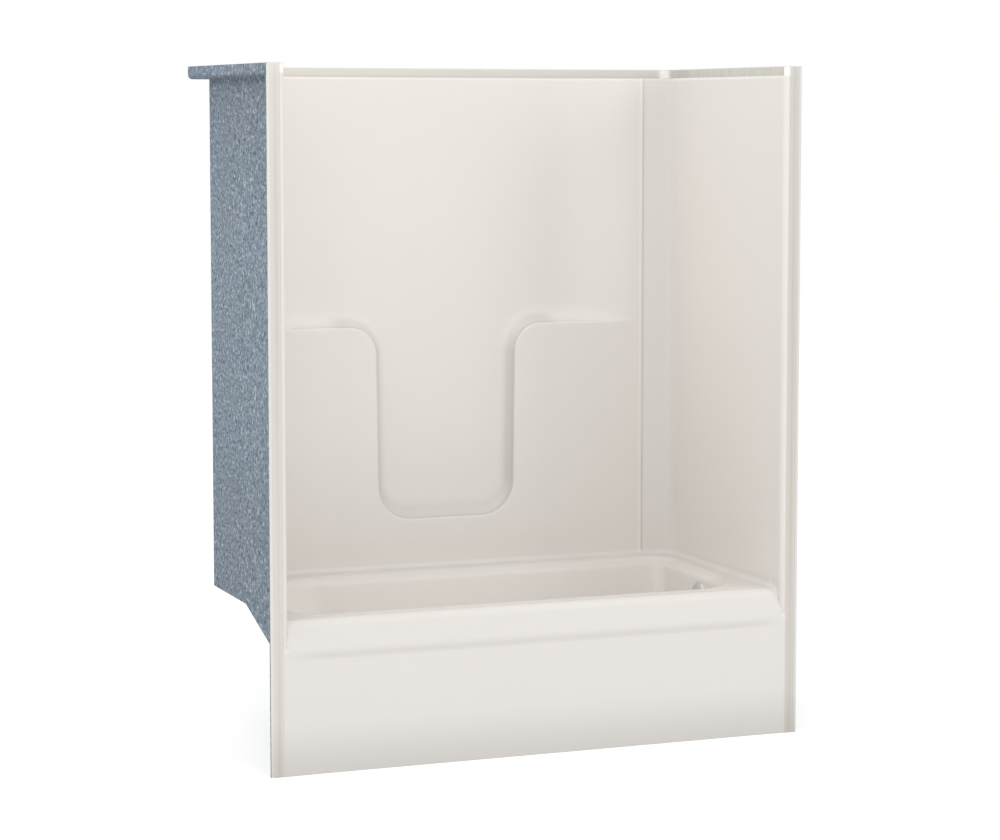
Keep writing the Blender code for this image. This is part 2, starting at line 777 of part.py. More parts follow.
def rear_top_lines():
    """Inner and outer plan lines of the rear ledge's right half, point for point."""
    split_depth = WALL_REAR_DEPTH - POST_WRAP
    outer_depth = UNIT_DEPTH - STACK
    corner = (TOP_OUTER_X - TOP_CORNER_RADIUS, outer_depth - TOP_CORNER_RADIUS)
    inner = [(wall_x(split_depth), split_depth), (WALL_REAR_X, WALL_REAR_DEPTH), (WAINSCOT_EDGE_X, WAINSCOT_DEPTH)]
    rear = [(x, upper_depth(x)) for x in reversed(bow_line()[:-1])]
    outer = [(TOP_OUTER_X, split_depth)]
    outer += arc(corner, (TOP_CORNER_RADIUS, TOP_CORNER_RADIUS), 0, 90, 1)
    outer += [(x, outer_depth) for x, depth in rear]
    return inner + rear, outer


def top_sheet(inner, outer):
    """The top ledge and its upright flange between two plan lines."""
    rolled = offset_line(inner, TOP_ROLL)
    levels = [
        (inner, WALL_TOP),
        (inner, TOP_LEDGE_HEIGHT - TOP_ROLL),
        (rolled, TOP_LEDGE_HEIGHT),
        (outer, TOP_LEDGE_HEIGHT),
        (outer, UNIT_HEIGHT),
    ]
    bm = bmesh.new()
    add_rows(bm, [[(x, y_at(depth), height) for x, depth in line] for line, height in levels])
    orient(bm, (0, 0, 1))
    return bm


def flipped(line):
    """A plan line on the other side of the unit, in reverse."""
    return [(-x, depth) for x, depth in reversed(line)]


def build_top_ledge():
    """The top ledge and upright flange, in three runs of two layers."""
    inner, outer = side_top_lines()
    rear_inner, rear_outer = rear_top_lines()
    runs = {
        "left": (flipped(inner), flipped(outer)),
        "right": (inner, outer),
        "rear": (rear_inner + flipped(rear_inner), rear_outer + flipped(rear_outer)),
    }
    for name, lines in runs.items():
        face = add_mesh(name + "_top_flange_face", top_sheet(*lines), GLOSS)
        add_layer(face, 0, SKIN)
        backing = add_mesh(name + "_top_flange_laminate", top_sheet(*lines), FIBRE)
        add_layer(backing, SKIN + GAP, LAMINATE)


def build_floor_support():
    """The board under the well's floor and the bearers that it stands on."""
    left, right, front, rear = inset(wall_foot_outline(), WELL_FLOOR_RADIUS + FLOOR_BOARD_MARGIN)["box"]
    right = DRAIN_X - SHOE_RADIUS - FLOOR_BOARD_MARGIN
    box("well_floor_board", (left, y_at(front), BOARD_FOOT), (right, y_at(rear), BOARD_TOP), BOARD)
    half = BEARER_WIDTH / 2
    places = {"left": left + BEARER_WIDTH, "middle": (left + right) / 2, "right": right - BEARER_WIDTH}
    for name, x in places.items():
        box(
            name + "_floor_bearer",
            (x - half, y_at(front) + half, 0),
            (x + half, y_at(rear) - half, BOARD_FOOT - GAP),
            BOARD,
        )


def build_apron_frame():
    """Posts behind the apron with a rail across their heads."""
    width, thickness = POST_SIZE
    post_front = APRON_RECESS + STACK + GAP
    post_head = RIM_BAND_FOOT - APRON_RECESS - RAIL_HEIGHT
    reach = WALL_REAR_X - 2 * width
    for name, x in {"left": -reach, "middle": 0, "right": reach}.items():
        box(
            name + "_apron_post",
            (x - width / 2, y_at(post_front), 0),
            (x + width / 2, y_at(post_front + thickness), post_head),
            BOARD,
        )
    box(
        "apron_rail",
        (-reach - width / 2, y_at(post_front), post_head + GAP),
        (reach + width / 2, y_at(post_front + thickness), post_head + GAP + RAIL_HEIGHT),
        BOARD,
    )


def build_backing_boards():
    """Boards behind the raised lower wall, one each side of the recess."""
    width, height = BACKER_SIZE
    front = WAINSCOT_DEPTH + STACK + GAP
    middle = (RECESS_WIDTH / 2 + STACK + WAINSCOT_EDGE_X) / 2
    for side, name in ((-1, "left"), (1, "right")):
        box(
            name + "_wall_backing_board",
            (side * middle - width / 2, y_at(front), BACKER_HEIGHT - height / 2),
            (side * middle + width / 2, y_at(front + BACKER_THICKNESS), BACKER_HEIGHT + height / 2),
            BOARD,
        )


def build_drain():
    """Drain flange, gasket, shoe and the strainer cover with its screw."""
    place = (DRAIN_X, WASTE_Y, 0)
    seat = WELL_FLOOR + GAP
    top = seat + DRAIN_FLANGE_THICKNESS
    inner = BARREL_RADIUS - BARREL_WALL
    foot = top - BARREL_LENGTH
    turned("drain_flange", [
        (DRAIN_FLANGE_RADIUS - DRAIN_FLANGE_THICKNESS, top),
        (DRAIN_FLANGE_RADIUS, seat),
        (BARREL_RADIUS, seat),
        (BARREL_RADIUS, foot),
        (inner, foot),
        (inner, top),
    ], place, CHROME)
    gasket_top = WELL_UNDERSIDE - GAP
    gasket_foot = gasket_top - GASKET_THICKNESS
    turned("drain_gasket", ring_profile(
        SHOE_RADIUS, BARREL_RADIUS + RUNNING_GAP, gasket_foot, gasket_top), place, RUBBER)
    shoe_top = gasket_foot - GAP
    shoe = rod("drain_shoe", (DRAIN_X, WASTE_Y, SHOE_FOOT), (DRAIN_X, WASTE_Y, shoe_top),
               SHOE_RADIUS, PIPE)
    reach = DRAIN_X + SHOE_RADIUS + SOCKET_DEPTH
    neck = rod("shoe_neck", (DRAIN_X, WASTE_Y, WASTE_AXIS_HEIGHT),
               (reach, WASTE_Y, WASTE_AXIS_HEIGHT), TUBE_RADIUS + SOCKET_WALL)
    cup = rod("shoe_cup_cutter", (DRAIN_X, WASTE_Y, SHOE_FOOT + SHOE_WALL),
              (DRAIN_X, WASTE_Y, shoe_top + CUT_OVERRUN), SHOE_RADIUS - SHOE_WALL)
    bore = rod("shoe_bore_cutter", (DRAIN_X, WASTE_Y, WASTE_AXIS_HEIGHT),
               (reach + CUT_OVERRUN, WASTE_Y, WASTE_AXIS_HEIGHT), TUBE_RADIUS + GAP)
    boolean(shoe, neck, "UNION")
    boolean(shoe, cup, "DIFFERENCE")
    boolean(shoe, bore, "DIFFERENCE")
    build_strainer(top)


def build_strainer(flange_top):
    """The perforated cover on the drain flange, held by one screw."""
    foot = flange_top + GAP
    plate = rod("strainer_cover", (DRAIN_X, WASTE_Y, foot),
                (DRAIN_X, WASTE_Y, foot + STRAINER_THICKNESS),
                DRAIN_FLANGE_RADIUS - DRAIN_FLANGE_THICKNESS - RUNNING_GAP, CHROME)
    holes = bmesh.new()
    pitch = BARREL_RADIUS - BARREL_WALL - 1.5 * STRAINER_HOLE_RADIUS
    spots = [(0, STRAINER_SCREW_RADIUS + GAP)]
    for i in range(6):
        spots.append((math.radians(60 * i), STRAINER_HOLE_RADIUS))
    for angle, radius in spots:
        run = pitch if radius == STRAINER_HOLE_RADIUS else 0
        middle = (DRAIN_X + run * math.cos(angle), WASTE_Y + run * math.sin(angle), foot)
        bmesh.ops.create_cone(
            holes, cap_ends=True, segments=ROUND_STEPS // 2, radius1=radius, radius2=radius,
            depth=CUT_OVERRUN, matrix=Matrix.Translation(middle),
        )
    boolean(plate, add_mesh("strainer_hole_cutter", holes), "DIFFERENCE")
    head = foot + STRAINER_THICKNESS + GAP
    radius = STRAINER_SCREW_RADIUS
    turned("strainer_screw", [
        (0, head + radius),
        (radius, head + radius),
        (2 * radius, head + radius / 2),
        (2 * radius, head),
        (radius, head),
        (radius, head - BARREL_LENGTH / 2),
        (0, head - BARREL_LENGTH / 2),
    ], (DRAIN_X, WASTE_Y, 0), CHROME, steps=ROUND_STEPS // 2, closed=False)


def build_waste_run():
    """The level tube, the tee, the riser and the slip nuts at their ends."""
    socket = TUBE_RADIUS + SOCKET_WALL
    axis = (0, WASTE_Y, WASTE_AXIS_HEIGHT)
    shoe_end = DRAIN_X + SHOE_RADIUS + SOCKET_DEPTH
    branch_end = RISER_X - TEE_BRANCH
    tube_start = shoe_end - SOCKET_DEPTH + NUT_WALL
    tube_end = branch_end + SOCKET_DEPTH
    turned("waste_tube", ring_profile(TUBE_RADIUS, TUBE_RADIUS - TUBE_WALL, tube_start, tube_end),
           axis, PIPE, "X")
    riser = (RISER_X, WASTE_Y, 0)
    tee = rod("waste_tee", (RISER_X, WASTE_Y, TEE_FOOT), (RISER_X, WASTE_Y, TEE_TOP), socket, PIPE)
    branch = rod("tee_branch", (branch_end, WASTE_Y, WASTE_AXIS_HEIGHT),
                 (RISER_X, WASTE_Y, WASTE_AXIS_HEIGHT), socket - GAP)
    bore = rod("tee_bore_cutter", (RISER_X, WASTE_Y, TEE_FOOT + SEAT_HEIGHT),
               (RISER_X, WASTE_Y, TEE_TOP + CUT_OVERRUN), TUBE_RADIUS - TUBE_WALL)
    seat = rod("tee_seat_cutter", (RISER_X, WASTE_Y, TEE_FOOT - CUT_OVERRUN),
               (RISER_X, WASTE_Y, TEE_TOP), SEAT_RADIUS)
    mouth = rod("tee_socket_cutter", (RISER_X, WASTE_Y, TEE_TOP - SOCKET_DEPTH),
                (RISER_X, WASTE_Y, TEE_TOP + CUT_OVERRUN), TUBE_RADIUS + GAP)
    side_mouth = rod("tee_branch_cutter", (branch_end - CUT_OVERRUN, WASTE_Y, WASTE_AXIS_HEIGHT),
                     (tube_end + GAP, WASTE_Y, WASTE_AXIS_HEIGHT), TUBE_RADIUS + GAP)
    side_bore = rod("tee_side_cutter", (branch_end, WASTE_Y, WASTE_AXIS_HEIGHT),
                    (RISER_X, WASTE_Y, WASTE_AXIS_HEIGHT), PLUNGER_RADIUS)
    boolean(tee, branch, "UNION")
    for cutter in (bore, seat, mouth, side_mouth, side_bore):
        boolean(tee, cutter, "DIFFERENCE")
    elbow_foot = OVERFLOW_HEIGHT - ELBOW_DROP
    riser_low = TEE_TOP - SOCKET_DEPTH + GAP
    riser_high = elbow_foot + SOCKET_DEPTH - GAP
    turned("overflow_tube", ring_profile(TUBE_RADIUS, TUBE_RADIUS - TUBE_WALL, riser_low, riser_high),
           riser, PIPE)
    outer = TUBE_RADIUS + NUT_WALL
    inner = TUBE_RADIUS + GAP
    nuts = {
        "shoe_slip_nut": (axis, shoe_end + GAP, shoe_end + GAP + NUT_LENGTH, "X"),
        "branch_slip_nut": (axis, branch_end - GAP - NUT_LENGTH, branch_end - GAP, "X"),
        "tee_slip_nut": (riser, TEE_TOP + GAP, TEE_TOP + GAP + NUT_LENGTH, "Z"),
        "elbow_slip_nut": (riser, elbow_foot - GAP - NUT_LENGTH, elbow_foot - GAP, "Z"),
    }
    for name, (place, low, high, along) in nuts.items():
        turned(name, ring_profile(outer, inner, low, high), place, PIPE, along)


def build_overflow_elbow():
    """The overflow elbow behind the end wall, with its gasket."""
    gasket_start = END_BACK_X + GAP
    elbow_start = gasket_start + OVERFLOW_GASKET + GAP
    elbow_end = RISER_X + TUBE_RADIUS + SOCKET_WALL
    axis = (0, WASTE_Y, OVERFLOW_HEIGHT)
    turned("overflow_gasket", ring_profile(
        ELBOW_RADIUS, OVERFLOW_HOLE_RADIUS, gasket_start, gasket_start + OVERFLOW_GASKET), axis, RUBBER, "X")
    elbow = rod("overflow_elbow", (elbow_start, WASTE_Y, OVERFLOW_HEIGHT),
                (elbow_end, WASTE_Y, OVERFLOW_HEIGHT), ELBOW_RADIUS, PIPE)
    foot = OVERFLOW_HEIGHT - ELBOW_DROP
    leg = rod("elbow_leg", (RISER_X, WASTE_Y, foot), (RISER_X, WASTE_Y, OVERFLOW_HEIGHT),
              TUBE_RADIUS + SOCKET_WALL - GAP)
    chamber = rod("elbow_chamber_cutter", (elbow_start - CUT_OVERRUN, WASTE_Y, OVERFLOW_HEIGHT),
                  (elbow_end - ELBOW_WALL, WASTE_Y, OVERFLOW_HEIGHT), ELBOW_RADIUS - ELBOW_WALL)
    bore = rod("elbow_bore_cutter", (RISER_X, WASTE_Y, foot - CUT_OVERRUN),
               (RISER_X, WASTE_Y, OVERFLOW_HEIGHT), TUBE_RADIUS - TUBE_WALL)
    mouth = rod("elbow_socket_cutter", (RISER_X, WASTE_Y, foot - CUT_OVERRUN),
                (RISER_X, WASTE_Y, foot + SOCKET_DEPTH), TUBE_RADIUS + GAP)
    boolean(elbow, leg, "UNION")
    for cutter in (chamber, bore, mouth):
        boolean(elbow, cutter, "DIFFERENCE")
    lugs = bmesh.new()
    lug_in = PLATE_SCREW_SPACING / 2 - 2 * PLATE_SCREW_RADIUS
    lug_out = ELBOW_RADIUS - ELBOW_WALL / 2
    half = 2 * PLATE_SCREW_RADIUS
    for side in (-1, 1):
        near = WASTE_Y + side * lug_in
        far = WASTE_Y + side * lug_out
        add_box(
            lugs,
            (elbow_start + GAP, min(near, far), OVERFLOW_HEIGHT - half),
            (elbow_start + 3 * half, max(near, far), OVERFLOW_HEIGHT + half),
        )
    boolean(elbow, add_mesh("elbow_lugs", lugs), "UNION")
    holes = bmesh.new()
    for side in (-1, 1):
        middle = (elbow_start, WASTE_Y + side * PLATE_SCREW_SPACING / 2, OVERFLOW_HEIGHT)
        turn = Matrix.Rotation(math.radians(90), 4, "Y")
        radius = PLATE_SCREW_RADIUS + GAP
        bmesh.ops.create_cone(
            holes, cap_ends=True, segments=ROUND_STEPS // 2, radius1=radius, radius2=radius,
            depth=2 * CUT_OVERRUN, matrix=Matrix.Translation(middle) @ turn,
        )
    boolean(elbow, add_mesh("elbow_screw_hole_cutter", holes), "DIFFERENCE")
    return elbow_start


def build_overflow_plate(elbow_start):
    """The domed plate on the end wall, its ears for the lever and its two screws."""
    front = PLATE_FRONT_X
    rim = END_FACE_X - GAP
    axis = (0, WASTE_Y, OVERFLOW_HEIGHT)
    plate = turned("overflow_plate", [
        (0, front + PLATE_THICKNESS),
        (PLATE_FLAT_RADIUS - PLATE_THICKNESS / 2, front + PLATE_THICKNESS),
        (PLATE_RADIUS - PLATE_THICKNESS, rim),
        (PLATE_RADIUS, rim),
        (PLATE_FLAT_RADIUS, front),
        (0, front),
    ], axis, CHROME, "X", closed=False)
    length, width, height = EAR_SIZE
    ears = bmesh.new()
    gap = LEVER_THICKNESS / 2 + RUNNING_GAP + GAP
    for side in (-1, 1):
        near = WASTE_Y + side * gap
        far = WASTE_Y + side * (gap + width)
        add_box(
            ears,
            (front + PLATE_THICKNESS / 2, min(near, far), OVERFLOW_HEIGHT - height / 2),
            (front + length, max(near, far), OVERFLOW_HEIGHT + height / 2),
        )
    boolean(plate, add_mesh("plate_ears", ears), "UNION")
    slot_half = PIVOT_SET_BACK * math.tan(LEVER_TILT) + LEVER_DEPTH / 2 / math.cos(LEVER_TILT) + RUNNING_GAP
    slot = box(
        "plate_slot_cutter",
        (front - CUT_OVERRUN, WASTE_Y - gap + GAP, OVERFLOW_HEIGHT - slot_half),
        (front + PLATE_THICKNESS + GAP, WASTE_Y + gap - GAP, OVERFLOW_HEIGHT + slot_half),
    )
    boolean(plate, slot, "DIFFERENCE")
    pin_hole = rod(
        "ear_hole_cutter",
        (PIVOT_X, WASTE_Y - CUT_OVERRUN, OVERFLOW_HEIGHT),
        (PIVOT_X, WASTE_Y + CUT_OVERRUN, OVERFLOW_HEIGHT),
        PIN_RADIUS + GAP,
    )
    boolean(plate, pin_hole, "DIFFERENCE")
    holes = bmesh.new()
    turn = Matrix.Rotation(math.radians(90), 4, "Y")
    for side in (-1, 1):
        middle = (front, WASTE_Y + side * PLATE_SCREW_SPACING / 2, OVERFLOW_HEIGHT)
        radius = PLATE_SCREW_RADIUS + GAP
        bmesh.ops.create_cone(
            holes, cap_ends=True, segments=ROUND_STEPS // 2, radius1=radius, radius2=radius,
            depth=CUT_OVERRUN, matrix=Matrix.Translation(middle) @ turn,
        )
    boolean(plate, add_mesh("plate_screw_hole_cutter", holes), "DIFFERENCE")
    pin_end = gap + width
    rod("lever_pivot_pin", (PIVOT_X, WASTE_Y - pin_end, OVERFLOW_HEIGHT),
        (PIVOT_X, WASTE_Y + pin_end, OVERFLOW_HEIGHT), PIN_RADIUS, CHROME)
    build_plate_screws(front, elbow_start)


def build_plate_screws(front, elbow_start):
    """Two screws from the plate into the elbow's lugs."""
    head = front - GAP
    radius = PLATE_SCREW_RADIUS
    tip = elbow_start + 5 * radius
    profile = [
        (0, tip),
        (radius, tip),
        (radius, head),
        (PLATE_SCREW_HEAD, head),
        (PLATE_SCREW_HEAD, head - radius / 2),
        (PLATE_SCREW_HEAD / 2, head - radius),
        (0, head - radius),
    ]
    for side, name in ((-1, "front"), (1, "rear")):
        place = (0, WASTE_Y + side * PLATE_SCREW_SPACING / 2, OVERFLOW_HEIGHT)
        turned(name + "_plate_screw", profile, place, CHROME, "X", steps=ROUND_STEPS // 2, closed=False)


def build_trip_lever():
    """The lever through the plate: a handle in the well, a crosspin in the elbow."""
    handle = LEVER_HANDLE + PIVOT_SET_BACK
    half_depth = LEVER_DEPTH / 2
    half = LEVER_THICKNESS / 2
    lever = box("trip_lever", (-handle, -half, -half_depth), (PIN_REACH + half_depth, half, half_depth), CHROME)
    pin_end = half + STRAP_SIZE[1] + 2 * RUNNING_GAP
    pin = rod("lever_crosspin", (PIN_REACH, 0, 0), (PIN_REACH, pin_end, 0), PIN_RADIUS)
    knob = rod("lever_knob", (-handle, -LEVER_KNOB / 2, 0), (-handle, LEVER_KNOB / 2, 0), LEVER_KNOB / 2)
    bore = rod("lever_bore_cutter", (0, -CUT_OVERRUN, 0), (0, CUT_OVERRUN, 0), PIN_RADIUS + GAP)
    boolean(lever, pin, "UNION")
    boolean(lever, knob, "UNION")
    boolean(lever, bore, "DIFFERENCE")
    for obj in (lever, pin, knob, bore):
        obj.location = (PIVOT_X, WASTE_Y, OVERFLOW_HEIGHT)
        obj.rotation_euler = (0, -LEVER_TILT, 0)


def build_lift_rod():
    """The strap on the lever's crosspin, and the rod down to the plunger."""
    pin_height = OVERFLOW_HEIGHT + PIN_REACH * math.sin(LEVER_TILT)
    sweep = PIN_REACH * (1 - math.cos(LEVER_TILT))
    width, thickness, height = STRAP_SIZE
    low_y = WASTE_Y + LEVER_THICKNESS / 2 + RUNNING_GAP
    strap = box("lift_rod", (RISER_X - width / 2, low_y, pin_height - height / 2),
                (RISER_X + width / 2, low_y + thickness, pin_height + height / 2), BRASS)
    slot_half = sweep / 2 + PIN_RADIUS + GAP
    slot = box(
        "strap_slot_cutter",
        (RISER_X - slot_half, low_y - CUT_OVERRUN, pin_height - PIN_RADIUS - RUNNING_GAP),
        (RISER_X + slot_half, low_y + CUT_OVERRUN, pin_height + PIN_RADIUS + RUNNING_GAP),
    )
    plunger_foot = TEE_FOOT + SEAT_HEIGHT + GAP + LIFT_TRAVEL
    rod_foot = plunger_foot + PLUNGER_LENGTH + GAP
    stem = rod("lift_rod_stem", (RISER_X, low_y + thickness / 2, rod_foot),
               (RISER_X, low_y + thickness / 2, pin_height - PIN_RADIUS - RUNNING_GAP - GAP), ROD_RADIUS)
    boolean(strap, slot, "DIFFERENCE")
    boolean(strap, stem, "UNION")
    build_plunger(plunger_foot)


def build_plunger(foot):
    """The weight that closes the tee when it is down."""
    radius = PLUNGER_RADIUS
    chamfer = ROD_RADIUS
    turned("drain_plunger", [
        (0, PLUNGER_LENGTH),
        (radius - chamfer, PLUNGER_LENGTH),
        (radius, PLUNGER_LENGTH - chamfer),
        (radius, chamfer),
        (radius - chamfer, 0),
        (0, 0),
    ], (RISER_X, WASTE_Y, foot), BRASS, closed=False)


def build_unit():
    """Build every piece of the unit."""
    build_back_wall()
    for side, name in ((-1, "left"), (1, "right")):
        build_end_wall(side, name)
        build_front_flange(side, name)
    build_top_ledge()
    build_well()
    build_deck()
    build_front_rim()
    build_apron()
    build_floor_support()
    build_apron_frame()
    build_backing_boards()
    build_drain()
    build_waste_run()
    elbow_start = build_overflow_elbow()
    build_overflow_plate(elbow_start)
    build_trip_lever()
    build_lift_rod()


build_unit()
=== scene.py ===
"""Tub and shower unit: moulded shell, laminate back, framing and waste set, in a plain studio."""
import json
import logging
import math
from contextlib import contextmanager
from dataclasses import dataclass
from enum import Enum
from functools import cached_property
from typing import Callable, Iterator, Optional, Sequence, Union

import bmesh
import bpy
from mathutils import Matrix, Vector


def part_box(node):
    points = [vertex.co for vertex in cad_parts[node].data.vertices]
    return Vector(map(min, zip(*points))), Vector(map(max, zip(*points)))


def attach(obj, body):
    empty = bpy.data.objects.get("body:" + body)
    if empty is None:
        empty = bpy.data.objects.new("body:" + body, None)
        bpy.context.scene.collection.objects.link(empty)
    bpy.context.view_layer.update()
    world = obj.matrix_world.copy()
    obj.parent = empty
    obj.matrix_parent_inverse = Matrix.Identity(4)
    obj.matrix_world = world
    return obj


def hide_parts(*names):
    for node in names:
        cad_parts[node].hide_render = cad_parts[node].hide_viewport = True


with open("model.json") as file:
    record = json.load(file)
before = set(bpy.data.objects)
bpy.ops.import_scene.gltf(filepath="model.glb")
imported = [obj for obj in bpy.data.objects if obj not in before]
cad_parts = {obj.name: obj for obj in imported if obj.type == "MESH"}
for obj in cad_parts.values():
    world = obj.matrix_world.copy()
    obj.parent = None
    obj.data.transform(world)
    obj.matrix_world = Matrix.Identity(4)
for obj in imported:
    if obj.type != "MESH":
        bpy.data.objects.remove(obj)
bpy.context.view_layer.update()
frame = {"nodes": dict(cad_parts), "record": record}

LOG = logging.getLogger("tub_and_shower_unit")
TOUCH = 0.00001     # two measures that differ by less are the same, in metres

Flat = tuple[float, float]
Spot = tuple[float, float, float]
Step = tuple[str, float, float]
Zone = tuple[Step, ...]
Weights = tuple[float, ...]
Outline = dict[str, tuple[float, ...]]
Number = Union[float, "Sock"]
Piece = bpy.types.Object


# ---------------------------------------------------------------- shader graphs

class Sock:
    """A shader socket that takes part in Python arithmetic by adding Math nodes."""

    def __init__(self, graph: "Graph", socket: bpy.types.NodeSocket) -> None:
        """Wrap an output socket of a graph."""
        self.graph = graph
        self.socket = socket

    def _math(self, operation: str, first: Number, second: Number = 0.0) -> "Sock":
        """Add one Math node on two values and return its result."""
        return self.graph.node("ShaderNodeMath", {"operation": operation}, {0: first, 1: second})

    def __add__(self, other: Number) -> "Sock":
        """Return self + other."""
        return self._math("ADD", self, other)

    def __radd__(self, other: Number) -> "Sock":
        """Return other + self."""
        return self._math("ADD", other, self)

    def __sub__(self, other: Number) -> "Sock":
        """Return self - other."""
        return self._math("SUBTRACT", self, other)

    def __rsub__(self, other: Number) -> "Sock":
        """Return other - self."""
        return self._math("SUBTRACT", other, self)

    def __mul__(self, other: Number) -> "Sock":
        """Return self * other."""
        return self._math("MULTIPLY", self, other)

    def __rmul__(self, other: Number) -> "Sock":
        """Return other * self."""
        return self._math("MULTIPLY", other, self)

    def above(self, level: float, soft: float) -> "Sock":
        """Return 0 below a level and 1 above it, with a smooth step of soft on either side."""
        ends = {0: self, 1: level - soft, 2: level + soft}
        return self.graph.node("ShaderNodeMapRange", {"interpolation_type": "SMOOTHSTEP"}, ends)

    def magnitude(self) -> "Sock":
        """Return the value without its sign."""
        return self._math("ABSOLUTE", self)

    def larger(self, other: Number) -> "Sock":
        """Return the larger of two values."""
        return self._math("MAXIMUM", self, other)


@dataclass(frozen=True)
class Shade:
    """A zone of a surface with painted light or shade: its colour is made lighter or darker by a
    share of it.
    """

    label: str
    amount: float
    steps: Zone


class Graph:
    """The node tree of one material, or of the world."""

    def __init__(self, name: str, kind: str = "materials",
                 shader: str = "Principled BSDF") -> None:
        """Start a material or a world.

        Args:
            name: its name.
            kind: the list of Blender's data that it joins.
            shader: the shader that it starts with.
        """
        self.owner = getattr(bpy.data, kind).new(name)
        self.owner.use_nodes = True
        self.tree = self.owner.node_tree
        self.shader = self.tree.nodes[shader]

    def node(self, kind: str, settings: dict, inputs: dict, output: Union[int, str] = 0) -> Sock:
        """Add a node, set it up and fill its inputs.

        Args:
            kind: the node's type.
            settings: its properties, and the stops of a ramp under "stops".
            inputs: values or sockets for its inputs, by name or place.
            output: which of its outputs to hand back.

        Returns:
            That output.
        """
        added = self.tree.nodes.new(kind)
        for key, value in settings.items():
            if key == "stops":
                self._stops(added.color_ramp, value)
            else:
                setattr(added, key, value)
        for key, value in inputs.items():
            self._fill(added.inputs[key], value)
        return Sock(self, added.outputs[output])

    @staticmethod
    def _stops(ramp: bpy.types.ColorRamp, stops: Sequence[tuple[float, Spot]]) -> None:
        """Give a ramp its stops.

        Args:
            ramp: the ramp.
            stops: a place from 0 to 1 and a colour for each stop.
        """
        while len(ramp.elements) > 1:
            ramp.elements.remove(ramp.elements[-1])
        for index, (place, color) in enumerate(stops):
            element = ramp.elements[0] if index == 0 else ramp.elements.new(place)
            element.position = place
            element.color = (*color, 1.0)

    def _fill(self, socket: bpy.types.NodeSocket, value: object) -> None:
        """Link a socket, or set its value.

        Args:
            socket: an input socket.
            value: a socket, number, vector or colour.
        """
        if isinstance(value, Sock):
            self.tree.links.new(value.socket, socket)
        elif socket.type == "RGBA":
            socket.default_value = (*value, 1.0)
        else:
            socket.default_value = value

    @cached_property
    def place(self) -> Sock:
        """The object's own coordinates, in metres."""
        return self.node("ShaderNodeTexCoord", {}, {}, "Object")

    @cached_property
    def axes(self) -> dict[str, Sock]:
        """The object's own x, y and z, and w, the distance from the plane x = 0.

        Returns:
            The axes by name.
        """
        split = self.node("ShaderNodeSeparateXYZ", {}, {0: self.place}).socket.node
        axes = {name: Sock(self, socket) for name, socket in zip("xyz", split.outputs)}
        return {**axes, "w": axes["x"].magnitude()}

    def zone(self, steps: Zone) -> Sock:
        """Mask the places that lie on the right side of every step.

        Args:
            steps: for each, an axis with + for above or - for below it, a level, and how far
                the mask fades on either side of that.

        Returns:
            The mask, 1 inside the zone.
        """
        mask: Number = 1.0
        for (axis, side), level, soft in steps:
            above = self.axes[axis].above(level, soft)
            mask = mask * (above if side == "+" else 1.0 - above)
        return mask

    def shaded(self, start: Number, shades: Sequence[Shade], mask: Number = 1.0) -> Sock:
        """Add zones of painted light and shade to a shade.

        Args:
            start: the shade so far, where 1 leaves a colour as it is.
            shades: the zones.
            mask: how much they count.

        Returns:
            The new shade.
        """
        for shade in shades:
            part = self.zone(shade.steps) * mask
            part.socket.node.label = shade.label
            start = start + part * shade.amount
        return start

    def noise(self, pattern: Spot, stretch: Optional[Spot] = None) -> Sock:
        """Add a noise pattern.

        Args:
            pattern: its scale in blotches to a metre, its finer layers, and their strength.
            stretch: how the coordinates are scaled first.

        Returns:
            The pattern, from 0 to 1.
        """
        place = self.place
        if stretch:
            place = self.node("ShaderNodeMapping", {}, {"Vector": place, "Scale": stretch})
        values = dict(zip(("Scale", "Detail", "Roughness"), pattern))
        return self.node("ShaderNodeTexNoise", {}, {"Vector": place, **values})

    @staticmethod
    def total(weights: Weights, *parts: Sock) -> Sock:
        """Add parts to a number.

        Args:
            weights: the number, and then how much each part counts.
            parts: the parts.

        Returns:
            The sum.
        """
        total, *shares = weights
        for share, part in zip(shares, parts):
            total = total + part * share
        return total

    def mix(self, share: Number, first: object, second: object) -> Sock:
        """Mix two colours, with a share of the second."""
        colors = {0: share, 6: first, 7: second}
        return self.node("ShaderNodeMix", {"data_type": "RGBA"}, colors, 2)

    def scale(self, color: Sock, share: Number) -> Sock:
        """Multiply a colour by a number."""
        return self.node("ShaderNodeVectorMath", {"operation": "SCALE"}, {0: color, "Scale": share})

    def bump(self, height: Sock, distance: float, strength: float) -> Sock:
        """Turn a height from 0 to 1, in units of a distance, into a bumped normal."""
        values = {"Strength": strength, "Distance": distance, "Height": height}
        return self.node("ShaderNodeBump", {}, values)

    def looked_at(self) -> Sock:
        """Mask the rays by which the camera, metal or glass sees something.

        Returns:
            The mask.
        """
        camera, glossy, transmission = (
            self.node("ShaderNodeLightPath", {}, {}, f"Is {ray} Ray")
            for ray in ("Camera", "Glossy", "Transmission"))
        return camera.larger(glossy).larger(transmission)

    def finish(self, inputs: dict) -> bpy.types.ID:
        """Fill the shader's inputs.

        Args:
            inputs: values or sockets by input name.

        Returns:
            The finished material or world.
        """
        for key, value in inputs.items():
            self._fill(self.shader.inputs[key], value)
        return self.owner


# ---------------------------------------------------------------- finishes

BACK: Zone = (("y+", 0.275, 0.004), ("z+", 0.42, 0.004))
RECESS_WIDTH: Zone = (("w-", 0.335, 0.03),)
BETWEEN_FLANGES: Zone = (("w-", 0.716, 0.008),)
BEHIND_RIM: Zone = (("y+", -0.31, 0.01),)
DECK: Zone = (("z+", 0.398, 0.004), ("z-", 0.427, 0.006), *BEHIND_RIM, *BETWEEN_FLANGES)


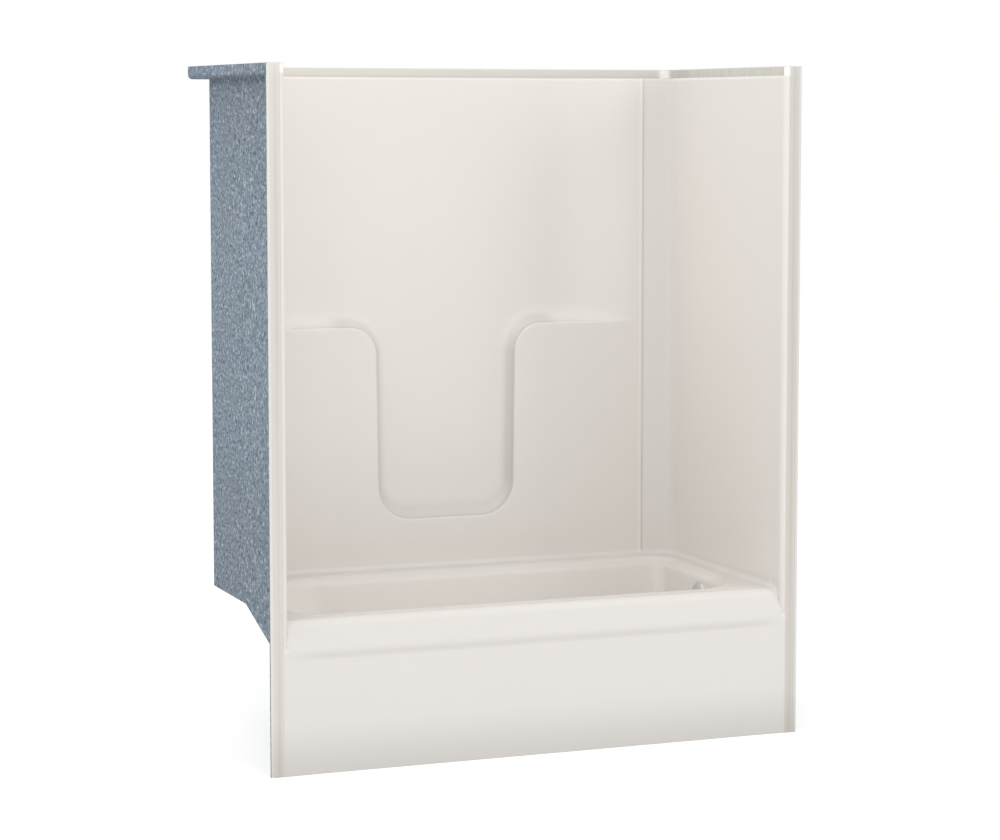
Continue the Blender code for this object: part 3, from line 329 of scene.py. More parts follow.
@dataclass(frozen=True)
class GlossMoulding:
    """The biscuit gloss layer, greyer on its flanges, with painted light, shade and highlights."""

    color: Spot = (0.742, 0.712, 0.677)
    pale: Spot = (0.758, 0.728, 0.692)
    flange: Spot = (0.612, 0.583, 0.537)
    # A lit copy of the flange's colour for the left flange: painted light.
    lit_left_flange: Spot = (0.645, 0.620, 0.563)
    # Painted light: the top ledge over the end walls is painted paler than the body.
    lit_end_ledge: Spot = (0.89, 0.88, 0.82)
    # Grey of the painted shade in the top crease and along each flange's groove line.
    painted_shade_grey: Spot = (0.545, 0.515, 0.470)
    # Painted highlight: a paler strip along the cut edges of the flanges and the top.
    painted_edge_highlight: Spot = (0.72, 0.715, 0.675)
    flanges: Zone = (("w+", 0.7264, 0.004),)
    top: Zone = (("z+", 1.8024, 0.002),)
    top_ends: Zone = (("w+", 0.700, 0.012),)
    right_half: Zone = (("x+", 0.0, 0.5),)
    # Painted shade in the crease at the foot of the top band.
    top_crease_shade: Zone = (("z-", 1.8079, 0.003),)
    # Painted shade: a dark line down each flange, where no groove is modelled.
    painted_groove_shade: Zone = (("w+", 0.7364, 0.004), ("w-", 0.7434, 0.004))
    side_edge_highlight: Zone = (("w+", 0.7553, 0.0012),)
    top_edge_highlight: Zone = (("z+", 1.8262, 0.001),)
    well_floor: Zone = (("z-", 0.0835, 0.0015), ("y+", -0.30, 0.01))
    wall_shades: tuple[Shade, ...] = (
        # Painted shade: the strip of the corner post is darker, where the corner shades it.
        Shade("shaded_corner_post", -0.085,
              (("w+", 0.6151, 0.002), ("y+", 0.262, 0.02), ("z+", 0.42, 0.004))),
        # Painted highlight: a lighter line along the back wall's edge beside the post; no bead is
        # modelled.
        Shade("highlight_beside_post", 0.06, (*BACK, ("w+", 0.6030, 0.002), ("w-", 0.6122, 0.002))),
        # Painted shade in the cove of the recess and the ledge, and a darker line along its brink.
        Shade("shaded_recess_cove", -0.14,
              (*BACK, *RECESS_WIDTH, ("y+", 0.3085, 0.006), ("y-", 0.3405, 0.006))),
        Shade("shaded_recess_brink", -0.10,
              (*BACK, *RECESS_WIDTH, ("y+", 0.3085, 0.001), ("y-", 0.3130, 0.002))),
        # Painted light on the middle of the back wall, and painted shade on its head.
        Shade("lit_middle_of_back", 0.045,
              (*BACK, ("z+", 0.72, 0.15), ("z-", 1.45, 0.3), ("x-", 0.2, 0.15))),
        Shade("shaded_head_of_back", -0.022, (*BACK, ("z+", 1.55, 0.2))),
    )
    low_shades: tuple[Shade, ...] = (
        # Painted shade: the apron darkens towards the floor.
        Shade("shaded_foot_of_apron", -0.16, (("z-", 0.075, 0.075), ("y-", -0.36, 0.01))),
        # Painted shade on the front rim and on the deck, more on the deck's right.
        Shade("front_rim", -0.065,
              (*BETWEEN_FLANGES, ("y-", -0.327, 0.006), ("z+", 0.322, 0.008), ("z-", 0.43, 0.01))),
        Shade("deck", -0.01925, DECK),
        Shade("shaded_right_of_deck", -0.03575, (*DECK, ("x+", -0.25, 0.3))),
        # Painted light: the inside of the well is lighter.
        Shade("lit_bathing_well", 0.04, (*BEHIND_RIM, ("z-", 0.395, 0.012))),
        # Painted light: the end walls and nosings grow lighter upwards.
        Shade("lit_upper_end_walls", 0.055,
              (*BETWEEN_FLANGES, ("w+", 0.702, 0.004), ("z+", 0.95, 0.45))),
    )
    # Painted light on the left flange, and painted shade that darkens both flanges upwards.
    flange_shades: tuple[Shade, ...] = (
        Shade("lit_left_flange", 0.045, (("x-", 0.0, 0.5),)),
        Shade("shaded_upper_flanges", -0.07, (("z+", 0.7, 0.5),)),
    )
    cloud: Spot = (2.2, 2.0, 0.45)
    streak: Spot = (60.0, 2.0, 0.5)
    upright: Spot = (1.0, 1.0, 0.03)
    level: Spot = (0.03, 1.0, 1.0)
    streaks: Weights = (0.75, 0.35)
    end_share: float = 0.75
    crease_shade_share: float = 0.8
    edge_highlight_share: float = 0.85
    peel: Spot = (420.0, 1.0, 0.4)
    wave: Spot = (9.0, 1.0, 0.4)
    grip_scale: float = 170.0
    heights: Weights = (0.0, 0.06, 0.5, 0.5)
    relief: Flat = (0.0006, 0.35)
    roughness: Weights = (0.20, 0.06, 0.12, 0.12)
    specular: float = 0.42

    def make(self) -> bpy.types.Material:
        """Build the material.

        Returns:
            The material.
        """
        graph = Graph("biscuit_gloss_moulding")
        cloud = graph.noise(self.cloud)
        streak = graph.noise(self.streak, self.upright)
        band = graph.noise(self.streak, self.level)
        top, ends = graph.zone(self.top), graph.zone(self.top_ends)
        on_flange = graph.zone(self.flanges) * graph.total(self.streaks, streak)
        on_top = top * graph.total(self.streaks, band) * (1.0 - ends * self.end_share)
        # Painted light and shade: the zones of the tables above lighten and darken the colour.
        shade = graph.shaded(1.0, self.wall_shades, 1.0 - on_top)
        shade = graph.shaded(shade, self.low_shades)
        shade = graph.shaded(shade, self.flange_shades, on_flange)
        body = graph.mix(cloud, self.color, self.pale)
        # Painted light: the left flange takes its lit copy of the flange's colour.
        flange = graph.mix(graph.zone(self.right_half), self.lit_left_flange, self.flange)
        tint = graph.mix(on_flange.larger(on_top), body, flange)
        # Painted shade: grey in the crease at the foot of the top band and down each flange's
        # groove line.
        crease = on_top * graph.zone(self.top_crease_shade) * self.crease_shade_share
        tint = graph.mix(crease.larger(graph.zone(self.painted_groove_shade) * streak), tint, self.painted_shade_grey)
        # Painted light: the top ledge over the end walls takes its pale colour.
        tint = graph.mix(top * ends * (1.0 - on_flange), tint, self.lit_end_ledge)
        # Painted highlight: a paler strip along the cut edges of the flanges and the top.
        edge = graph.zone(self.side_edge_highlight).larger(graph.zone(self.top_edge_highlight))
        tint = graph.mix(edge * self.edge_highlight_share, tint, self.painted_edge_highlight)
        grip = graph.node("ShaderNodeTexVoronoi", {"feature": "F1"},
                          {"Vector": graph.place, "Scale": self.grip_scale})
        on_floor = graph.zone(self.well_floor)
        height = graph.total(
            self.heights, graph.noise(self.peel), graph.noise(self.wave), grip * on_floor)
        return graph.finish({
            "Base Color": graph.scale(tint, shade),
            "Roughness": graph.total(self.roughness, cloud, on_flange, on_floor),
            "Specular IOR Level": self.specular,
            "Normal": graph.bump(height, *self.relief),
        })


@dataclass(frozen=True)
class ChoppedLaminate:
    """The blue-grey back of the moulding: short strands rolled down in resin."""

    color: Spot = (0.212, 0.262, 0.316)
    dark: Spot = (0.066, 0.095, 0.132)
    light: Spot = (0.500, 0.560, 0.620)
    cool: Spot = (0.93, 0.97, 1.0)
    warm: Spot = (1.0, 0.98, 0.97)
    tones: tuple[float, float, float, float] = (0.40, 0.48, 0.53, 0.61)
    drift: Spot = (5.0, 2.0, 0.5)
    mottle: Spot = (105.0, 2.0, 0.6)
    strand: Spot = (150.0, 2.0, 0.6)
    upright: Spot = (1.0, 1.0, 0.45)
    across: Spot = (1.0, 0.4, 1.0)
    weights: Weights = (0.0, 0.50, 0.28, 0.22)
    drift_height: float = 0.3
    relief: Flat = (0.0016, 0.8)
    roughness: Weights = (0.62, 0.25)
    start: float = 1.04
    # Painted shade darkens the laminate towards its head and foot; painted light lightens its top
    # edge.
    shades: tuple[Shade, ...] = (
        Shade("head", -0.17, (("z+", 1.55, 0.25),)),
        Shade("foot", -0.10, (("z-", 0.75, 0.25),)),
        Shade("lit_top_edge", 0.13, (("z+", 1.803, 0.002),)),
    )

    def make(self) -> bpy.types.Material:
        """Build the material.

        Returns:
            The material.
        """
        graph = Graph("blue_grey_laminate")
        drift, mottle = graph.noise(self.drift), graph.noise(self.mottle)
        strand = graph.total(self.weights, mottle, graph.noise(self.strand, self.upright),
                             graph.noise(self.strand, self.across))
        stops = tuple(zip(self.tones, (self.dark, self.color, self.color, self.light)))
        tone = graph.node("ShaderNodeValToRGB", {"stops": stops}, {0: strand})
        tint = graph.mix(drift, self.cool, self.warm)
        color = graph.node("ShaderNodeVectorMath", {"operation": "MULTIPLY"}, {0: tone, 1: tint})
        return graph.finish({
            "Base Color": graph.scale(color, graph.shaded(self.start, self.shades)),
            "Roughness": graph.total(self.roughness, mottle),
            "Normal": graph.bump(strand + drift * self.drift_height, *self.relief),
        })


@dataclass(frozen=True)
class PlyBoard:
    """Bare plywood with its plies showing at the edges."""

    pale: Spot = (0.66, 0.50, 0.33)
    dark: Spot = (0.47, 0.32, 0.19)
    along: Spot = (0.6, 9.0, 9.0)
    grain: Spot = (14.0, 5.0, 0.6)
    pores: Spot = (90.0, 2.0, 0.5)
    plies: Flat = (140.0, 0.6)
    weights: Weights = (0.0, 0.75, 0.15, 0.10)
    darkening: Flat = (0.5, 0.22)
    relief: Flat = (0.0008, 0.6)
    roughness: Weights = (0.70, 0.2)

    def make(self) -> bpy.types.Material:
        """Build the material.

        Returns:
            The material.
        """
        graph = Graph("plywood_board")
        grain, pores = graph.noise(self.grain, self.along), graph.noise(self.pores, self.along)
        scale, bend = self.plies
        plies = graph.node("ShaderNodeTexWave", {"bands_direction": "Z"},
                           {"Vector": graph.place, "Scale": scale, "Distortion": bend})
        share = graph.total(self.weights, grain, pores, plies)
        return graph.finish({
            "Base Color": graph.mix(share.above(*self.darkening), self.pale, self.dark),
            "Roughness": graph.total(self.roughness, pores),
            "Normal": graph.bump(share, *self.relief),
        })


@dataclass(frozen=True)
class BrightMetal:
    """Chrome plate or drawn brass, faintly brushed and smudged."""

    name: str = "chrome_plate"
    color: Spot = (0.80, 0.81, 0.82)
    shade: Spot = (0.66, 0.67, 0.69)
    roughness: Weights = (0.09, 0.10, 0.04)
    smudge: Spot = (55.0, 3.0, 0.5)
    brushing: Spot = (900.0, 1.0, 0.5)
    along: Spot = (1.0, 1.0, 0.05)
    relief: Flat = (0.00008, 0.3)

    def make(self) -> bpy.types.Material:
        """Build the material.

        Returns:
            The material.
        """
        graph = Graph(self.name)
        smudge, lines = graph.noise(self.smudge), graph.noise(self.brushing, self.along)
        return graph.finish({
            "Base Color": graph.mix(smudge, self.color, self.shade),
            "Metallic": 1.0,
            "Roughness": graph.total(self.roughness, smudge, lines),
            "Normal": graph.bump(lines, *self.relief),
        })


@dataclass(frozen=True)
class PipePlastic:
    """Black moulded pipe with a fine pebble and light scuffs."""

    color: Spot = (0.022, 0.022, 0.024)
    scuffed: Spot = (0.075, 0.075, 0.078)
    scuff: Spot = (38.0, 4.0, 0.6)
    scuff_step: Flat = (0.60, 0.08)
    scuff_share: float = 0.6
    pebble: Spot = (700.0, 2.0, 0.5)
    relief: Flat = (0.0002, 0.4)
    roughness: Weights = (0.38, 0.2, 0.05)

    def make(self) -> bpy.types.Material:
        """Build the material.

        Returns:
            The material.
        """
        graph = Graph("black_pipe_plastic")
        scuff = graph.noise(self.scuff).above(*self.scuff_step)
        pebble = graph.noise(self.pebble)
        return graph.finish({
            "Base Color": graph.mix(scuff * self.scuff_share, self.color, self.scuffed),
            "Roughness": graph.total(self.roughness, scuff, pebble),
            "Normal": graph.bump(pebble, *self.relief),
        })


@dataclass(frozen=True)
class SoftRubber:
    """Matt black rubber with a bloom."""

    color: Spot = (0.018, 0.018, 0.018)
    bloom: Spot = (0.060, 0.060, 0.062)
    dust: Spot = (120.0, 3.0, 0.6)
    relief: Flat = (0.0002, 0.4)
    roughness: Weights = (0.75, 0.15)

    def make(self) -> bpy.types.Material:
        """Build the material.

        Returns:
            The material.
        """
        graph = Graph("black_rubber")
        dust = graph.noise(self.dust)
        return graph.finish({
            "Base Color": graph.mix(dust, self.color, self.bloom),
            "Roughness": graph.total(self.roughness, dust),
            "Normal": graph.bump(dust, *self.relief),
        })


# ---------------------------------------------------------------- edit-mode bench

class Bench:
    """Modelling with Blender's own operators, one piece at a time."""

    @staticmethod
    def rest() -> None:
        """Leave edit mode and deselect everything."""
        if bpy.context.object and bpy.context.object.mode != "OBJECT":
            bpy.ops.object.mode_set(mode="OBJECT")
        bpy.ops.object.select_all(action="DESELECT")

    @staticmethod
    def take(obj: Piece) -> None:
        """Make one object the only selected and active one.

        Args:
            obj: the object.
        """
        Bench.rest()
        obj.select_set(True)
        bpy.context.view_layer.objects.active = obj

    @staticmethod
    @contextmanager
    def editing(obj: Piece, action: str = "SELECT") -> Iterator[None]:
        """Keep an object in edit mode for a while.

        Args:
            obj: the object.
            action: whether all of it is selected at first, or nothing.

        Yields:
            Nothing.
        """
        Bench.take(obj)
        bpy.ops.object.mode_set(mode="EDIT")
        bpy.ops.mesh.select_all(action=action)
        yield
        bpy.ops.object.mode_set(mode="OBJECT")

    @staticmethod
    def settled(name: str) -> Piece:
        """Name the object that was just added, and put its place, turn and scale in its mesh.

        Args:
            name: its name.

        Returns:
            The object.
        """
        piece = bpy.context.object
        piece.name = name
        Bench.take(piece)
        bpy.ops.object.transform_apply(location=True, rotation=True, scale=True)
        return piece

    @staticmethod
    def grid(name: str, rows: Sequence[Sequence[Spot]]) -> Piece:
        """Add a grid and lay its rows of points along a form.

        Args:
            name: the piece's name.
            rows: rows of points, all of one length.

        Returns:
            The grid.
        """
        Bench.rest()
        bpy.ops.mesh.primitive_grid_add(
            x_subdivisions=len(rows[0]) - 1, y_subdivisions=len(rows) - 1, size=1.0)
        obj = bpy.context.object
        obj.name = name
        flat = [value for row in rows for point in row for value in point]
        obj.data.vertices.foreach_set("co", flat)
        obj.data.update()
        return obj

    @staticmethod
    def join(name: str, pieces: Sequence[Piece]) -> Piece:
        """Join pieces into one object and weld the points that meet.

        Args:
            name: the joined piece's name.
            pieces: the pieces.

        Returns:
            The joined piece.
        """
        Bench.take(pieces[0])
        for piece in pieces:
            piece.select_set(True)
        bpy.ops.object.join()
        obj = bpy.context.object
        obj.name = name
        with Bench.editing(obj):
            bpy.ops.mesh.remove_doubles(threshold=0.00003)
        return obj

    @staticmethod
    def pick_edges(obj: Piece, test: Callable[[Vector], bool], bare: bool) -> int:
        """Select the edges of an object in edit mode whose two ends pass a test.

        Args:
            obj: the object.
            test: tells whether a point belongs.
            bare: whether an edge between two faces is left out.

        Returns:
            How many edges are selected.
        """
        bpy.ops.mesh.select_mode(type="EDGE")
        picked = [edge for edge in bmesh.from_edit_mesh(obj.data).edges
                  if all(test(vert.co) for vert in edge.verts)
                  and not (bare and len(edge.link_faces) > 1)]
        for edge in picked:
            edge.select = True
        bmesh.update_edit_mesh(obj.data)
        return len(picked)

    @staticmethod
    def cap(obj: Piece, off: Callable[[Vector], float], island: bool = False) -> int:
        """Close the flat holes that lie in a plane.

        Args:
            obj: the object.
            off: tells how far a point is off the plane.
            island: whether the hole has an island, so that triangles fill it.

        Returns:
            How many edges there are round the holes.
        """
        with Bench.editing(obj, "DESELECT"):
            count = Bench.pick_edges(obj, lambda co: abs(off(co)) < TOUCH, True)
            if island:
                bpy.ops.mesh.fill(use_beauty=True)
            else:
                bpy.ops.mesh.edge_face_add()
        return count

    @staticmethod
    def tie(obj: Piece, ends: Sequence[Vector]) -> None:
        """Join two points of a sheet by an edge, on which the faces on both sides can end.

        Args:
            obj: the sheet.
            ends: where the two points are.
        """
        with Bench.editing(obj, "DESELECT"):
            bpy.ops.mesh.select_mode(type="VERT")
            mesh = bmesh.from_edit_mesh(obj.data)
            for place in ends:
                min(mesh.verts, key=lambda vert: (vert.co - place).length).select = True
            bmesh.update_edit_mesh(obj.data)
            bpy.ops.mesh.edge_face_add()

    @staticmethod
    def face_out(obj: Piece, towards: Optional[Spot] = None) -> None:
        """Make the normals of a mesh agree.

        Args:
            obj: the object.
            towards: the way that an open sheet looks overall.
        """
        with Bench.editing(obj):
            bpy.ops.mesh.normals_make_consistent(inside=False)
        total = sum((face.normal * face.area for face in obj.data.polygons), Vector())
        if towards and total.dot(Vector(towards)) < 0:
            with Bench.editing(obj):
                bpy.ops.mesh.flip_normals()

    @staticmethod
    def modify(obj: Piece, kind: str, **settings: object) -> None:
        """Add a modifier and apply it.

        Args:
            obj: the object.
            kind: the modifier's type.
            settings: its settings.
        """
        Bench.take(obj)
        modifier = obj.modifiers.new(kind.lower(), kind)
        for key, value in settings.items():
            setattr(modifier, key, value)
        bpy.ops.object.modifier_apply(modifier=modifier.name)

    @staticmethod
    def smooth(obj: Piece, degrees: float) -> None:
        """Shade an object smooth up to an angle and keep its flats flat.

        Args:
            obj: the object.
            degrees: the angle.
        """
        Bench.take(obj)
        bpy.ops.object.shade_smooth_by_angle(angle=math.radians(degrees))
        Bench.modify(obj, "WEIGHTED_NORMAL", keep_sharp=True, weight=50)

    @staticmethod
    def turned(name: str, profile: Sequence[Flat], base: Spot, along: Spot, sides: int = 96,
               lobes: int = 0, dent: float = 0.0, core: float = 0.0) -> Piece:
        """Lay a grid round an axis and weld it into a closed turned piece.

        Args:
            name: the piece's name.
            profile: radius and height of each ring. The last is the first, or both are points
                on the axis.
            base: where the height is 0.
            along: the axis.
            sides: points round it.
            lobes: how many ribs run round it.
            dent: how deep the hollows between the ribs are.
            core: the radius up to which there are no ribs.

        Returns:
            The piece.
        """
        axis = Vector(along).normalized()
        across = axis.orthogonal().normalized()
        other = axis.cross(across)
        rows = []
        for radius, height in profile:
            row = []
            for i in range(sides + 1):
                turn = 2 * math.pi * i / sides
                hollow = dent * (1 - math.cos(lobes * turn)) / 2 if radius > core else 0.0
                way = across * math.cos(turn) + other * math.sin(turn)
                row.append(tuple(Vector(base) + axis * height + way * (radius - hollow)))
            rows.append(row)
        piece = Bench.join(name, [Bench.grid(name, rows)])
        Bench.face_out(piece)
        return piece

    @staticmethod
    def rod(name: str, radius: float, start: Spot, end: Spot, sides: int = 32) -> Piece:
        """Add a round rod from one point to another.

        Args:
            name: the piece's name.
            radius: the rod's radius.
            start: the middle of one end.
            end: the middle of the other end.
            sides: points round it.

        Returns:
            The rod.
        """
        Bench.rest()
        way = Vector(end) - Vector(start)
        bpy.ops.mesh.primitive_cylinder_add(
            vertices=sides, radius=radius, depth=way.length,
            location=(Vector(start) + Vector(end)) / 2,
            rotation=way.to_track_quat("Z", "Y").to_euler())
        return Bench.settled(name)

    @staticmethod
    def block(name: str, low: Sequence[float], high: Sequence[float], bevel: float = 0.0) -> Piece:
        """Add a block between two corners.

        Args:
            name: the piece's name.
            low: its lowest corner.
            high: its highest corner.
            bevel: how far its edges are broken.

        Returns:
            The block.
        """
        Bench.rest()
        middle = (Vector(low) + Vector(high)) / 2
        bpy.ops.mesh.primitive_cube_add(
            size=1.0, location=middle, scale=Vector(high) - Vector(low))
        piece = Bench.settled(name)
        if bevel > 0:
            with Bench.editing(piece):
                bpy.ops.mesh.bevel(offset=bevel, segments=2, affect="EDGES")
        return piece

    @staticmethod
    def combine(obj: Piece, tool: Piece, operation: str = "DIFFERENCE") -> None:
        """Cut a tool out of a piece, or add it, and throw the tool away."""
        Bench.modify(obj, "BOOLEAN", operation=operation, solver="EXACT", object=tool)
        bpy.data.objects.remove(tool, do_unlink=True)

    @staticmethod
    def dress(piece: Piece, finish: bpy.types.Material, slot: str, nodes: Sequence[str],
              degrees: float = 32.0) -> Piece:
        """Finish a new piece, hide the nodes that it replaces, and hang it on the shell's body.

        Args:
            piece: the piece.
            finish: its finish.
            slot: the material slot of the record that the finish is for. It is not used.
            nodes: the nodes that it replaces.
            degrees: the angle up to which it is shaded smooth.

        Returns:
            The piece.
        """
        piece.data.materials.clear()
        piece.data.materials.append(finish)
        Bench.smooth(piece, degrees)
        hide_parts(*nodes)
        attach(piece, "shell")
        return piece


# ---------------------------------------------------------------- lines

def arc(centre: Flat, radii: Flat, start: float, end: float, steps: int) -> list[Flat]:
    """Make points along part of an ellipse.

    Args:
        centre: its centre.
        radii: its two radii.
        start: the first angle in degrees.
        end: the last angle in degrees.
        steps: how many steps there are between them.

    Returns:
        The points, both ends included.
    """
    turns = [math.radians(start + (end - start) * i / steps) for i in range(steps + 1)]
    return [(centre[0] + radii[0] * math.cos(turn), centre[1] + radii[1] * math.sin(turn))
            for turn in turns]


def quarter(steps: int) -> list[Flat]:
    """Return 1 - cosine, and sine, at each step of a quarter turn."""
    turns = [math.radians(90 * step / steps) for step in range(steps + 1)]
    return [(1 - math.cos(turn), math.sin(turn)) for turn in turns]


def between(first: Sequence[float], second: Sequence[float], share: float) -> tuple[float, ...]:
    """Return the point at a share of the way from one point to another."""
    return tuple(Vector(first).lerp(Vector(second), share))


def rounded(before: Flat, corner: Flat, after: Flat, reach: float, steps: int) -> list[Flat]:
    """Round one corner of a line.

    Args:
        before: the point before the corner.
        corner: the corner.
        after: the point after it.
        reach: how far from the corner the rounding starts.
        steps: how many steps the rounding has.

    Returns:
        The points of the rounding.
    """
    middle = Vector(corner)
    first = middle + (Vector(before) - middle).normalized() * reach
    last = middle + (Vector(after) - middle).normalized() * reach
    shares = [i / steps for i in range(steps + 1)]
    return [tuple(first * (1 - t) ** 2 + middle * (2 * t * (1 - t)) + last * t ** 2)
            for t in shares]


def offset_line(points: Sequence[Flat], distance: float) -> list[Flat]:
    """Move an open line sideways, to the right of its direction, with mitred corners.

    Args:
        points: the line.
        distance: how far it moves.

    Returns:
        The moved line, point for point.
    """
    normals = []
    for start, end in zip(points, points[1:]):
        along = (Vector(end) - Vector(start)).normalized()
        normals.append(Vector((along.y, -along.x)) if along.length > 0.5 else normals[-1])
    moved = []
    for i, point in enumerate(points):
        before = normals[max(i - 1, 0)]
        after = normals[min(i, len(normals) - 1)]
        mitre = (before + after) / (1 + before.dot(after))
        moved.append(tuple(Vector(point) + mitre * distance))
    return moved


def along_line(points: Sequence[Flat], share: float) -> Flat:
    """Find the point at a share of a line's length.

    Args:
        points: the line.
        share: the share, from 0 to 1.

    Returns:
        The point.
    """
    lengths = [(Vector(end) - Vector(start)).length for start, end in zip(points, points[1:])]
    left = sum(lengths) * share
    for start, end, length in zip(points, points[1:], lengths):
        if left <= length:
            return between(start, end, left / length)
        left -= length
    return points[-1]


# ---------------------------------------------------------------- the alcove's plan

class Layer(Enum):
    """Which layer of the moulding a sheet is made for."""

    FACE = "gloss face with its fillets"
    BACKING = "laminate that fills the small corners"


@dataclass(frozen=True)
class AlcovePlan:
    """The lines that every zone of the moulding keeps to. Depths start at the front face."""

    width: float = 1.524
    depth: float = 0.762
    height: float = 1.829
    front_return: float = 0.0495
    draft: float = 0.0102
    side_rear_depth: float = 0.6604
    wainscot_depth: float = 0.6858
    upper_depth: float = 0.7264
    post_edge: Flat = (0.6190, 0.6897)
    wainscot_edge: float = 0.6126
    edge_round: float = 0.003
    edge_steps: tuple[int, int] = (4, 3)
    crease_round: float = 0.030
    crease_steps: int = 10
    post_shares: Flat = (0.25, 0.45)
    guide_share: float = 0.8
    wall_shares: tuple[float, ...] = (0.15, 0.4, 0.527, 0.75, 0.9)
    bow_start: float = 0.3556
    bow_steps: int = 16
    ledge_height: float = 1.105
    ledge_cove: float = 0.0508
    wall_top: float = 1.7898
    top_ledge: float = 1.8034
    top_roll: float = 0.0076
    nosing_depth: float = 0.0584
    nosing_radius: float = 0.0139
    nosing_steps: int = 12
    split_depth: float = 0.0116
    flange_inner_x: float = 0.7264
    flange_middle_x: float = 0.745
    flange_step: float = 0.0025
    rim_height: float = 0.4013
    deck_rise: float = 0.015
    base_cove: float = 0.013
    stack: float = 0.0088

    @property
    def half(self) -> float:
        """Half the unit's width."""
        return self.width / 2

    @property
    def wall_front_x(self) -> float:
        """X of the end wall's face at the nosing."""
        return self.half - self.front_return

    @property
    def wall_rear_x(self) -> float:
        """X of the end wall's face at the corner post."""
        return self.wall_front_x - self.draft

    @property
    def back_edge(self) -> float:
        """X where the back wall starts to round into the post's step."""
        return self.wainscot_edge - self.edge_round

    def y(self, depth: float) -> float:
        """Y of a depth."""
        return depth - self.depth / 2

    def sheet(self, name: str, rows: Sequence[Sequence[Spot]]) -> Piece:
        """Lay a grid through rows of points, each an X, a depth and a height."""
        return Bench.grid(name, [[(x, self.y(depth), z) for x, depth, z in row] for row in rows])

    def raised(self, name: str, lines: Sequence[tuple[Sequence[Flat], float]]) -> Piece:
        """Lay a grid through plan lines, each with its height."""
        return self.sheet(name, [[(x, depth, z) for x, depth in line] for line, z in lines])

    def deck(self, depth: float) -> float:
        """Height of the rim deck at a depth."""
        share = (depth - self.nosing_depth) / (self.wainscot_depth - self.nosing_depth)
        return self.rim_height + self.deck_rise * share

    def bow_depth(self, x: float) -> float:
        """Find the depth of the upper back wall.

        Args:
            x: the place across it.

        Returns:
            The depth.
        """
        share = min(max((x - self.bow_start) / (self.back_edge - self.bow_start), 0.0), 1.0)
        bow = self.upper_depth - self.wainscot_depth
        return self.upper_depth - bow * (1 - math.cos(math.pi * share)) / 2

    def bow(self) -> list[float]:
        """Places across the bowed part of the back wall."""
        span = self.back_edge - self.bow_start
        return [self.bow_start + span * i / self.bow_steps for i in range(self.bow_steps + 1)]

    def nosing_arc(self) -> list[Flat]:
        """Round the nosing in plan, with a point at the depth where the top ledge ends.

        Returns:
            The points, from the end wall to the flange.
        """
        run = self.flange_inner_x - self.wall_front_x
        centre = (self.flange_inner_x, self.flange_step + self.nosing_radius)
        points = arc(centre, (run, self.nosing_radius), 180, 270, self.nosing_steps)
        inside = range(1, self.nosing_steps)
        nearest = min(inside, key=lambda i: abs(points[i][1] - self.split_depth))
        angle = math.asin((centre[1] - self.split_depth) / self.nosing_radius)
        points[nearest] = (centre[0] - run * math.cos(angle), self.split_depth)
        return points

    def post_line(self, layer: Layer) -> tuple[list[Flat], list[Flat]]:
        """Draw the right half's plan from the back wall's edge to the nosing.

        Args:
            layer: the layer that it is for.

        Returns:
            The line, and a guide without the post's small step, point for point.
        """
        edge = (self.wainscot_edge, self.wainscot_depth)
        crease = (self.wall_rear_x, self.side_rear_depth)
        front = (self.wall_front_x, self.nosing_depth)
        first, second = self.edge_steps
        line = rounded((0, self.wainscot_depth), edge, self.post_edge, self.edge_round, first)
        if layer is Layer.BACKING:
            line = line[:1] + [edge] * first
        line += rounded(edge, self.post_edge, crease, self.edge_round, second)
        rest = [between(self.post_edge, crease, share) for share in self.post_shares]
        last = len(line) - 1
        guide = [between(line[0], rest[0], self.guide_share * i / last) for i in range(last + 1)]
        rest += rounded(self.post_edge, crease, front, self.crease_round, self.crease_steps)
        rest += [between(crease, front, share) for share in self.wall_shares] + [front]
        return line + rest, guide + rest


